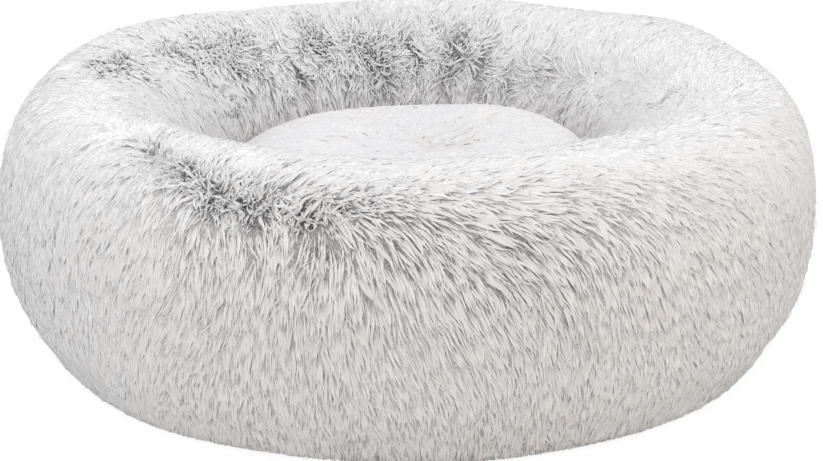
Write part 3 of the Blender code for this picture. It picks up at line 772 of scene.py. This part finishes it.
def bolster_roots():
    """Arcs, angles and kinds of the bolster's locks, with coat and stubble where it is bare."""
    length = TABLE_ARCS[-1]
    arc, angle = spread_roots(length, LOCK_SPACING, bolster_reach)
    keep = above_seams(arc, LOWEST_ROOT_ARC)
    arc, angle = arc[keep], angle[keep]
    coat_arc, coat_angle = spread_roots(length, COAT_SPACING, bolster_reach)
    bare, tousled, _, _ = opened(coat_arc, coat_angle)
    front = shaggy(coat_arc, coat_angle)[0]
    on_line = near(turn_at(coat_arc), around(coat_angle, 1), 8)
    need = bare + 0.3 * tousled + 0.16 * front + 0.25 * on_line
    keep = chance.uniform(0.05, 0.3, len(coat_arc)) < need
    keep &= above_seams(coat_arc, LOWEST_ROOT_ARC)
    coat_arc, coat_angle = coat_arc[keep], coat_angle[keep]
    fringe_arc = chance.uniform(*FRINGE_ARCS, FRINGE_COUNT)
    fringe_angle = chance.uniform(0, 2 * math.pi, FRINGE_COUNT)
    stub_arc, stub_angle = spread_roots(length, STUBBLE_SPACING, bolster_reach)
    bare = opened(stub_arc, stub_angle)[0]
    keep = chance.uniform(0.2, 0.7, len(stub_arc)) < bare
    keep &= above_seams(stub_arc, LOWEST_LOOSE_ARC)
    stub_arc, stub_angle = stub_arc[keep], stub_angle[keep]
    kinds = (LONG_LOCK, COAT_LOCK, LONG_LOCK, STUBBLE_LOCK)
    kind = np.repeat(kinds, [len(arc), len(coat_arc), FRINGE_COUNT, len(stub_arc)])
    arc = np.concatenate([arc, coat_arc, fringe_arc, stub_arc])
    return arc, np.concatenate([angle, coat_angle, fringe_angle, stub_angle]), kind


def bolster_tufts():
    """Spines of the tufts that the locks gather into."""
    arc, angle = spread_roots(TABLE_ARCS[-1], TUFT_SPACING, bolster_reach)
    tufts, _ = grown(
        arc, angle, LOCK_LENGTH * chance.uniform(0.8, 1.15, len(arc)),
        bolster_rise(arc, angle), chance.normal(0, 1, len(arc)),
        bolster_place, combed, bolster_radius, CALM_ROOT_DEPTH,
    )
    return tufts


def grow_bolster(material):
    """The bolster's pile, in one piece for each sector of the ring."""
    arc, angle, kind = bolster_roots()
    count = len(arc)
    coat, stub = kind == COAT_LOCK, kind == STUBBLE_LOCK
    rough = roughness(arc, angle)
    front, hollow, _ = shaggy(arc, angle)
    fly = chance.uniform(0, 1, count) < FLYAWAY_SHARE
    fly &= (kind == LONG_LOCK) & (arc > LOWEST_LOOSE_ARC)
    tufts = bolster_tufts()

    rise = bolster_rise(arc, angle) + np.where(fly, chance.uniform(*FLYAWAY_RISES, count), 0)
    rise -= np.where(coat, COAT_DROP, 0)
    lengths = LOCK_LENGTH * chance.uniform(0.72, 1.12, count)
    lengths = lengths * np.where(coat, COAT_LENGTH_SHARE, 1) * (1 + 0.35 * hollow)
    underfur = underfur_depth(arc, angle)
    depth = CALM_ROOT_DEPTH + (ROOT_DEPTH - CALM_ROOT_DEPTH) * np.minimum(1, rough * 1.3)
    depth = np.maximum(depth, underfur + ROOT_COVER)
    depth = np.where(stub, underfur + STUBBLE_ROOT_COVER, depth)
    standing = chance.uniform(*STUBBLE_HEIGHTS, count) - underfur - STUBBLE_DROP
    rise = np.where(stub, standing, rise)
    lengths = np.where(stub, chance.uniform(*STUBBLE_LENGTHS, count), lengths)
    stray = chance.normal(0, 1, count) * np.where(kind > LONG_LOCK, 2.0, 1) * np.where(fly, 2.0, 1)
    spines, outward = grown(
        arc, angle, lengths, rise, stray, bolster_place, combed, bolster_radius, depth
    )

    gathered = np.maximum(front, hollow)
    grip = chance.uniform(0.25, 0.75, count) * (1 + 0.5 * gathered)
    grip = np.minimum(grip, 0.92) * np.where(fly | coat, 0.2, 1) * ~stub
    spines, nearest = tufted(spines, tufts, grip)
    droop = TIP_DROOP * np.clip(1 - 1.5 * rough, 0, 1) * (kind == LONG_LOCK) * ~fly
    spines[:, -1] -= outward[:, -1] * droop[:, None]
    tuft_tone = chance.normal(0, 1, len(tufts))
    looks = bolster_looks(arc, angle, tuft_tone[nearest], coat | stub, fly)
    widths = LOCK_WIDTH * chance.uniform(0.65, 1.15, count) * (1.2 - 0.25 * rough)
    widths *= np.where(fly, 0.12 + 0.38 * rough, 1)
    widths *= np.where(coat, 0.7, 1) * np.where(stub, 0.55, 1)
    thicknesses = 2 * LOCK_THICKNESS * widths / LOCK_WIDTH * (0.28 + 0.72 * rough)
    sinks = LOCK_SINK * (1 - 0.85 * rough) * ~(fly | stub)
    roundness = LOCK_ROUNDNESS * (0.2 + 0.8 * rough)
    sector = (angle / (2 * math.pi) * FUR_SECTORS).astype(int) % FUR_SECTORS
    pieces = []
    for number in range(FUR_SECTORS):
        mine = sector == number
        shape = (spines, outward, widths, thicknesses, sinks, looks, roundness)
        name = "bolster_fur_%02d" % (number + 1)
        piece = fur_mesh(name, *(values[mine] for values in shape))
        piece.data.materials.append(material)
        pieces.append(piece)
    return pieces


def look_columns(tone, warm):
    """The columns of the fur's map for shares of tone and warmth."""
    tone, warm = np.clip(tone, 0, 0.999), np.clip(warm, 0, 0.999)
    return (tone * TONES).astype(int) * WARMTHS + (warm * WARMTHS).astype(int)


def bolster_looks(arc, angle, tuft_tone, short, fly):
    """Each lock's column of the map: dark-rooted where the pile parts, pale on the crest, with
    painted shade.
    """
    tone = paleness_and_painted_shade(arc, angle) + 0.06 * tuft_tone + chance.normal(0, 0.08, len(arc))
    warm = warmth(arc, angle) + chance.normal(0, 0.12, len(arc))
    return look_columns(tone - 0.35 * short + 0.3 * fly, warm)


def seat_table():
    """The dome's section from its middle to the seam: arcs, radii, heights and outward slopes."""
    out = np.linspace(0, 1, 40)[:-1]
    crown = SEAT_CROWN_HEIGHT - SEAT_DIMPLE_DEPTH * np.cos(np.pi / 2 * out) ** 2
    turn = np.linspace(math.pi / 2, 0, 60)[:-1]
    edge_radius, edge_height = SEAT_SIDE[0]
    reach = np.cos(turn) ** SEAT_ROUND_SHARE
    rise = np.sin(turn) ** SEAT_ROUND_SHARE
    side = np.array(SEAT_SIDE)
    dome_radius = SEAT_CREST_RADIUS + (edge_radius - SEAT_CREST_RADIUS) * reach
    dome_height = edge_height + (SEAT_CROWN_HEIGHT - edge_height) * rise
    radius = np.concatenate([out * SEAT_CREST_RADIUS, dome_radius, side[:, 0]])
    height = np.concatenate([crown, dome_height, side[:, 1]])
    steps = np.hypot(np.diff(radius), np.diff(height))
    arcs = np.concatenate([[0.0], np.cumsum(steps)])
    slope = np.unwrap(np.arctan2(np.gradient(height, arcs), np.gradient(radius, arcs)))
    return arcs, radius, height, slope + math.pi / 2


SEAT_ARCS, SEAT_RADII, SEAT_HEIGHTS, SEAT_FACINGS = seat_table()


def seat_radius(out):
    return np.interp(out, SEAT_ARCS, SEAT_RADII)


def seat_reach(out):
    """The seat's radius at a single arc, and never quite 0."""
    return max(float(seat_radius(out)), 0.001)


def seat_place(out, angle, depth):
    """Points on the seat at arcs out from its middle, angles round it and depths."""
    radius = seat_radius(out)
    height = np.interp(out, SEAT_ARCS, SEAT_HEIGHTS)
    facing = np.interp(out, SEAT_ARCS, SEAT_FACINGS)
    rise = np.clip((height - WAIST_HEIGHT) / (SEAT_CROWN_HEIGHT - WAIST_HEIGHT), 0, 1)
    lean = np.where(radius < SEAT_CREST_RADIUS, 1, rise**2)
    lobing = lean * np.minimum(1, radius / SEAT_CREST_RADIUS)
    trough = 1 - np.cos(SEAT_LOBES * (angle - math.radians(SEAT_LOBE_ANGLE)))
    radius = radius - depth * np.cos(facing)
    height = height - depth * np.sin(facing) - SEAT_LOBE_DEPTH / 2 * trough * lobing
    x = radius * np.cos(angle) + SEAT_LEAN * lean
    return np.stack([x, radius * np.sin(angle), height], -1)


def seat_comb(out, angle):
    """The way the seat's pile lies: outwards, but all one way across the dimple.

    The shares are as combed gives them, so the first is inward, against the arc out.
    """
    sway = 0.40 * np.sin(3 * angle + out * 25) + 0.22 * np.sin(7 * angle - out * 60 + 1.3)
    middle = near(out, 0, SEAT_SWIRL_REACH)
    sweep_x, sweep_y = SEAT_SWEEP
    away = 1 - middle + middle * (sweep_x * np.cos(angle) + sweep_y * np.sin(angle))
    along = sway * (1 - middle) + middle * (sweep_y * np.cos(angle) - sweep_x * np.sin(angle))
    length = np.hypot(away, along) + 1e-6
    return -away / length, along / length, middle * 0.2, middle * 0.5


def grow_seat(material):
    """The seat's short plush, in one piece."""
    reach = SEAT_ARCS[-1] - SEAT_BARE_ARC
    out, angle = spread_roots(reach, SEAT_LOCK_SPACING, seat_reach)
    keep = out > SEAT_SWIRL_RADIUS
    out, angle = out[keep], angle[keep]
    count = len(out)
    tuft_out, tuft_angle = spread_roots(reach, TUFT_SPACING, seat_reach)
    tufts, _ = grown(
        tuft_out, tuft_angle, SEAT_LOCK_LENGTH * chance.uniform(0.8, 1.1, len(tuft_out)),
        SEAT_TIP_RISE + chance.normal(0, SEAT_SCATTER, len(tuft_out)),
        chance.normal(0, 1, len(tuft_out)),
        seat_place, seat_comb, seat_radius, SEAT_ROOT_DEPTH,
    )
    spines, outward = grown(
        out, angle, SEAT_LOCK_LENGTH * chance.uniform(0.7, 1.1, count),
        SEAT_TIP_RISE + chance.normal(0, SEAT_SCATTER, count), chance.normal(0, 1, count),
        seat_place, seat_comb, seat_radius, SEAT_ROOT_DEPTH,
    )
    spines, nearest = tufted(spines, tufts, chance.uniform(0.1, 0.4, count))
    spines[:, -1] -= outward[:, -1] * SEAT_TIP_DROOP
    tuft_tone = chance.normal(0, 0.09, len(tufts))
    tone = 0.9 + tuft_tone[nearest] - 0.45 * near(out, 0, SEAT_DARK_REACH)
    looks = look_columns(tone, 0.4 + chance.normal(0, 0.15, count))
    widths = SEAT_LOCK_WIDTH * chance.uniform(0.65, 1.1, count)
    sinks = np.full(count, SEAT_LOCK_SINK)
    roundness = np.full(count, SEAT_LOCK_ROUNDNESS)
    piece = fur_mesh(
        "seat_fur", spines, outward, widths, widths * SEAT_LOCK_FLATNESS, sinks, looks, roundness
    )
    piece.data.materials.append(material)
    return piece


def reshaped(skin, name, places, material):
    """Names a ready-made round mesh and puts its points where they are wanted."""
    skin.name = skin.data.name = name
    skin.data.vertices.foreach_set("co", places.astype(np.float32).ravel())
    skin.data.update()
    skin.data.materials.append(material)
    bpy.ops.object.shade_smooth()
    return skin


def bolster_skin(material):
    """The stuffed ring under the fur, with its underfur's shares of paleness, painted shade
    included, and warmth.
    """
    deselect()
    bpy.ops.mesh.primitive_torus_add(
        major_radius=CREST_RADIUS, minor_radius=OUTER_HALF, major_segments=256, minor_segments=96
    )
    skin = bpy.context.object
    points = np.array([point.co for point in skin.data.vertices])
    angle = np.arctan2(points[:, 1], points[:, 0])
    reach = np.hypot(points[:, 0], points[:, 1]) - CREST_RADIUS
    turn = (np.degrees(np.arctan2(points[:, 2], reach)) + 122) % 360 - 122
    arc = np.interp(turn, TABLE_TURNS, TABLE_ARCS)
    inside = (turn >= OUTER_SEAM_TURN) & (turn <= INNER_SEAM_TURN)
    upper = bolster_place(arc, angle, underfur_depth(arc, angle))
    radius, height = section(turn, ROOT_DEPTH)
    under = np.stack([radius * np.cos(angle), radius * np.sin(angle), height], -1)
    places = np.where(inside[:, None], upper, under)
    places[:, 2] = np.maximum(places[:, 2], SKIN_FLOOR)
    front, hollow, _ = shaggy(arc, angle)
    foot = ramp(turn, *FOOT_TURNS)
    # Darker where the pile is coarse and where it parts, for its dark roots; at the foot, and
    # partly in the hollow, the darkening is painted shade.
    pale = 1 - 0.9 * front - 0.5 * hollow - 0.5 * foot - 1.7 * opened(arc, angle)[0]
    for name, share in (("paleness_and_painted_shade", pale), ("warmth", warmth(arc, angle))):
        values = np.clip(share, 0, 1).astype(np.float32)
        skin.data.attributes.new(name, "FLOAT", "POINT").data.foreach_set("value", values)
    return reshaped(skin, "bolster_skin", places, material)


def seat_skin(material):
    """The stuffed seat under the plush, closed below the seam."""
    deselect()
    bpy.ops.mesh.primitive_uv_sphere_add(segments=96, ring_count=40, radius=1)
    skin = bpy.context.object
    points = np.array([point.co for point in skin.data.vertices])
    angle = np.arctan2(points[:, 1], points[:, 0])
    polar = np.degrees(np.arccos(np.clip(points[:, 2], -1, 1)))
    out = np.interp(polar, (0, SEAT_SKIN_SEAM_POLAR), (0, SEAT_ARCS[-1]))
    places = seat_place(out, angle, np.full(len(out), SEAT_UNDERFUR_DEPTH))
    inward = np.interp(polar, (SEAT_SKIN_SEAM_POLAR, 180), (1, 0))
    floor = np.full(len(out), SEAT_SKIN_FLOOR)
    bottom = np.stack([places[:, 0] * inward, places[:, 1] * inward, floor], -1)
    places = np.where((polar > SEAT_SKIN_SEAM_POLAR)[:, None], bottom, places)
    return reshaped(skin, "seat_skin", places, material)


def fur_finish(name, root, tip, dim, shade_low, shade_high):
    """Dark roots to white tips, drawn on the columns of the fur's map, with fine strands.

    root and tip are grey levels, and dim is how much duller the tips of dark locks are. The
    colour turns between the shares shade_low and shade_high of a pale lock's length.
    """
    finish = Finish(name, roughness=0.85)
    place = finish.node("UVMap", {"uv_map": "OFBake"}).outputs["UV"]
    split = finish.node("SeparateXYZ", Vector=place)
    u = finish.number(split.outputs["X"])
    v = finish.number(split.outputs["Y"])
    column = (u * LOOKS).floor()
    tone = (column / WARMTHS).floor() / (TONES - 1)
    warm = ((column / WARMTHS).fraction() * WARMTHS) / (WARMTHS - 1)
    strands = finish.noise(finish.joined(u * LOOKS * 5, v * 2.5), 1.0, 1.5)
    fine = finish.noise(finish.joined(u * LOOKS * 13, v * 4, 7.0), 1.0, 1.0)
    ragged = v + (strands - 0.5) * 0.35
    start = shade_low + (1 - tone) * 0.25
    end = shade_high + (1 - tone) * 0.25
    whiteness = ragged.step(start, end)
    middle = finish.mixed(tone, grey(168), finish.mixed(warm, grey(232, -2), grey(227, 5)))
    bright = finish.mixed(warm, grey(tip, -0.5), grey(tip - 3, 4))
    # On the bolster, the dark-toned locks include those darkened with painted shade, so their
    # duller tips are partly painted shade too.
    dimmed = finish.mixed(warm, grey(tip - dim, -1), grey(tip - dim - 3, 4))
    pale = finish.mixed(tone, dimmed, bright)
    dark_root = finish.mixed(warm, grey(root, -5, 4.5), grey(root, 1))
    pale_root = finish.mixed(warm, grey(226, -1), grey(222, 3))
    deep = finish.mixed(tone.step(0, 0.85), dark_root, pale_root)
    lower = finish.mixed(ragged.step(0.05, start + 0.12), deep, middle)
    colour = finish.mixed(whiteness, lower, pale)
    streaked = finish.mixed(fine.step(0.35, 0.65) * 0.16, colour, grey(120))
    finish.coloured(streaked)
    finish.bumped(strands * 0.7 + fine * 0.3, 0.0006, 0.6)
    return finish.material


def underfur_finish(name, dark, pale, varied=False):
    """Dense short fibre, seen only down between the locks.

    Where varied, its skin's attributes darken it where the pile parts and with painted shade, and
    warm it.
    """
    finish = Finish(name, roughness=0.95)
    coordinates = finish.node("TexCoord").outputs["Object"]
    fibres = finish.noise(coordinates, 520, 3).step(0.3, 0.7)
    share = fibres
    warm = 0.0
    if varied:
        whitened, warm = (
            finish.number(finish.node("Attribute", {"attribute_name": shade}).outputs["Fac"])
            for shade in ("paleness_and_painted_shade", "warmth")
        )
        share = whitened * 0.75 + fibres * 0.25
    deep = finish.mixed(warm, grey(dark, -5, 4.5), grey(dark, 2))
    light = finish.mixed(warm, grey(pale, -1), grey(pale - 3, 4))
    finish.coloured(finish.mixed(share, deep, light))
    finish.bumped(fibres, 0.0004)
    return finish.material


def sewn(off_line, along):
    """1 on the stitches of a seam, from the distance off its line and the distance along it."""
    on_line = 1 - off_line.absolute().step(STITCH_WIDTH * 0.4, STITCH_WIDTH * 0.6)
    in_stitch = 1 - ((along / STITCH_PITCH).fraction() - 0.5).absolute().step(0.32, 0.38)
    return on_line * in_stitch


def around_window(x, y, half_x, half_y):
    """Distances off and along an oblong line round the zip."""
    return (x.absolute() - half_x).larger(y.absolute() - half_y), x + y


def weave_finish(name, dark, light, pitch, roughness=0.8, dots=False):
    """Plain woven cloth of two thread tones, sewn round the zip, with rubber dots on the base."""
    finish = Finish(name, roughness=roughness)
    x, y = finish.places()
    threads = (x / pitch * math.pi).sine() * (y / pitch * math.pi).sine() * 0.5 + 0.5
    coordinates = finish.node("TexCoord").outputs["Object"]
    slub = finish.noise(coordinates, 260, 3)
    cloud = finish.noise(coordinates, 14, 3)
    share = threads * 0.6 + slub * 0.25 + cloud * 0.15
    colour = finish.mixed(share, dark, light)
    height = threads
    if dots:
        rows = y / (DOT_SPACING * DOT_ROW_SHARE)
        offset = (rows.floor() * 0.5).fraction()
        dx = ((x / DOT_SPACING + offset).fraction() - 0.5) * DOT_SPACING
        dy = (rows.fraction() - 0.5) * DOT_SPACING * DOT_ROW_SHARE
        distance = (dx * dx + dy * dy).root()
        dot = 1 - distance.step(*DOT_EDGE)
        colour = finish.mixed(dot, colour, grey(196))
        height = threads * (1 - dot) * 0.4 + dot
        finish.feed(0.85 - dot * 0.3, finish.shader.inputs["Roughness"])
        rim = sewn((x * x + y * y).root() - RIM_SEAM_RADIUS, y.bearing(x) * RIM_SEAM_RADIUS)
        stitches = rim.larger(sewn(*around_window(x, y, *WINDOW_SEAM)))
    else:
        stitches = sewn(*around_window(x, y, *FACING_SEAM))
    finish.coloured(finish.mixed(stitches, colour, grey(150)))
    finish.bumped(height * (1 - stitches) + stitches * 2, 0.0003)
    return finish.material


def tape_finish():
    """A woven zip tape in ribs, with glossier moulded teeth along its edge."""
    finish = Finish("zip_tape_weave", roughness=0.8)
    x, y = finish.places()
    ribs = (x / 0.0007 * math.pi).sine() * 0.5 + 0.5
    lines = (y / 0.0011 * math.pi).sine() * 0.5 + 0.5
    coordinates = finish.node("TexCoord").outputs["Object"]
    slub = finish.noise(coordinates, 700, 2)
    tooth = 1 - y.absolute().step(0.0033, 0.0036)
    cloth = finish.mixed(ribs * 0.5 + lines * 0.25 + slub * 0.25, grey(58, -1), grey(96, -1))
    finish.coloured(finish.mixed(tooth, cloth, grey(74, -1)))
    finish.feed(0.8 - tooth * 0.45, finish.shader.inputs["Roughness"])
    finish.bumped((ribs * 0.6 + lines * 0.4) * (1 - tooth) + slub * 0.1, 0.0002)
    return finish.material


def metal_finish():
    """Cast zinc in grey satin, worn bright in places."""
    finish = Finish("zip_satin_metal", roughness=0.35, metallic=1.0)
    coordinates = finish.node("TexCoord").outputs["Object"]
    cast = finish.noise(coordinates, 1400, 3)
    worn = finish.noise(coordinates, 260, 3).step(0.45, 0.7)
    finish.coloured(finish.mixed(worn, grey(158, -1), grey(196)))
    finish.feed(0.42 - worn * 0.14 + cast * 0.1, finish.shader.inputs["Roughness"])
    finish.bumped(cast, 0.00008)
    return finish.material


def seen_rays(tree):
    """1 where the camera sees a surface, straight or by way of metal or glass."""
    path = add_node(tree, "LightPath")
    kinds = ("Camera", "Glossy", "Transmission")
    camera, glossy, through = (Maths(tree, path.outputs["Is %s Ray" % kind]) for kind in kinds)
    return camera.larger(glossy).larger(through)


def floor_finish():
    """A pale floor that the camera sees as white, with the bed's soft shadow kept."""
    made = bpy.data.materials.new("floor_paper")
    made.use_nodes = True
    tree = made.node_tree
    tree.nodes.clear()
    paper = add_node(tree, "BsdfDiffuse", Color=(PAPER, PAPER, PAPER, 1))
    shadow = (PAPER_SHADOW, PAPER_SHADOW, PAPER_SHADOW, 1)
    faint = add_node(tree, "BsdfDiffuse", Color=shadow)
    glow = add_node(tree, "Emission", Strength=PAPER_GLOW)
    both = add_node(tree, "AddShader")
    mix = add_node(tree, "MixShader", Fac=seen_rays(tree))
    feed(tree, faint.outputs[0], both.inputs[0])
    feed(tree, glow.outputs[0], both.inputs[1])
    feed(tree, paper.outputs[0], mix.inputs[1])
    feed(tree, both.outputs[0], mix.inputs[2])
    add_node(tree, "OutputMaterial", Surface=mix.outputs[0])
    return made


def light_world():
    """Even white light from all round."""
    world = bpy.data.worlds.new("studio")
    bpy.context.scene.world = world
    world.use_nodes = True
    back = world.node_tree.nodes["Background"]
    back.inputs["Color"].default_value = (1, 1, 1, 1)
    back.inputs["Strength"].default_value = WORLD_LIGHT


def add_lamp(name, place, aim, size, power):
    lamp = bpy.data.lights.new(name, "AREA")
    lamp.shape = "DISK"
    lamp.size = size
    lamp.energy = power
    item = bpy.data.objects.new(name, lamp)
    item.location = place
    item.rotation_euler = (Vector(aim) - Vector(place)).to_track_quat("-Z", "Y").to_euler()
    bpy.context.scene.collection.objects.link(item)


def build_stage():
    deselect()
    bpy.ops.mesh.primitive_plane_add(size=14, location=(0, 0, 0))
    floor = bpy.context.object
    floor.name = "floor"
    floor.data.materials.append(floor_finish())
    light_world()
    add_lamp("top_softbox", (0.2, -0.2, 2.2), aim=(0, 0, 0.1), size=1.6, power=12)
    add_lamp("front_softbox", (-0.1, -2.2, 1.4), aim=(0, 0, 0.1), size=1.4, power=12)


def build_camera():
    camera = bpy.data.cameras.new("photo_camera")
    item = bpy.data.objects.new("photo_camera", camera)
    bpy.context.scene.collection.objects.link(item)
    tilt = math.radians(VIEW_ELEVATION)
    aim = Vector((0, 0, VIEW_HEIGHT))
    item.location = aim + VIEW_DISTANCE * Vector((0, -math.cos(tilt), math.sin(tilt)))
    item.rotation_euler = (math.radians(90) - tilt, 0, 0)
    camera.sensor_width = SENSOR_WIDTH
    camera.lens = PIXELS_PER_METRE * VIEW_DISTANCE * SENSOR_WIDTH / FRAME_WIDTH
    camera.shift_x = VIEW_SHIFT_PIXELS[0] / FRAME_WIDTH
    camera.shift_y = VIEW_SHIFT_PIXELS[1] / FRAME_WIDTH
    bpy.context.scene.camera = item


def dress():
    """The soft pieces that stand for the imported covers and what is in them."""
    fur = fur_finish("long_pile", 96, 242, 6, 0.08, 0.45)
    plush = fur_finish("seat_plush", 204, 233, 24, 0.05, 0.30)
    for piece in grow_bolster(fur):
        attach(piece, "bed")
    skin = bolster_skin(underfur_finish("bolster_underfur", 92, 240, varied=True))
    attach(skin, "bed")
    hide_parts("bolster_cover_left", "bolster_cover_right", "bolster_liner", "bolster_fill")
    seat_pile = grow_seat(plush)
    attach(seat_pile, "bed")
    pad = seat_skin(underfur_finish("seat_underfur", 208, 216))
    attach(pad, "bed")
    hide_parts("seat_cover", "seat_liner", "seat_fill")


def finish_nodes():
    """Materials for the pieces that are carried over as they were packed."""
    finishes = {
        "base_panel": weave_finish("base_weave", grey(72, -1), grey(112, -1), 0.0009, dots=True),
        "zip_facing": weave_finish("facing_weave", grey(70, -1), grey(104, -1), 0.0009),
        "zip_bottom_stop": metal_finish(),
        "zip_slider": metal_finish(),
        "zip_pull_tab": metal_finish(),
    }
    tape = tape_finish()
    finishes["zip_tape_front"] = tape
    finishes["zip_tape_rear"] = tape
    for name, material in finishes.items():
        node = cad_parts[name]
        node.data.materials.clear()
        node.data.materials.append(material)


bpy.context.scene.view_settings.view_transform = "Standard"
build_camera()
build_stage()
dress()
finish_nodes()
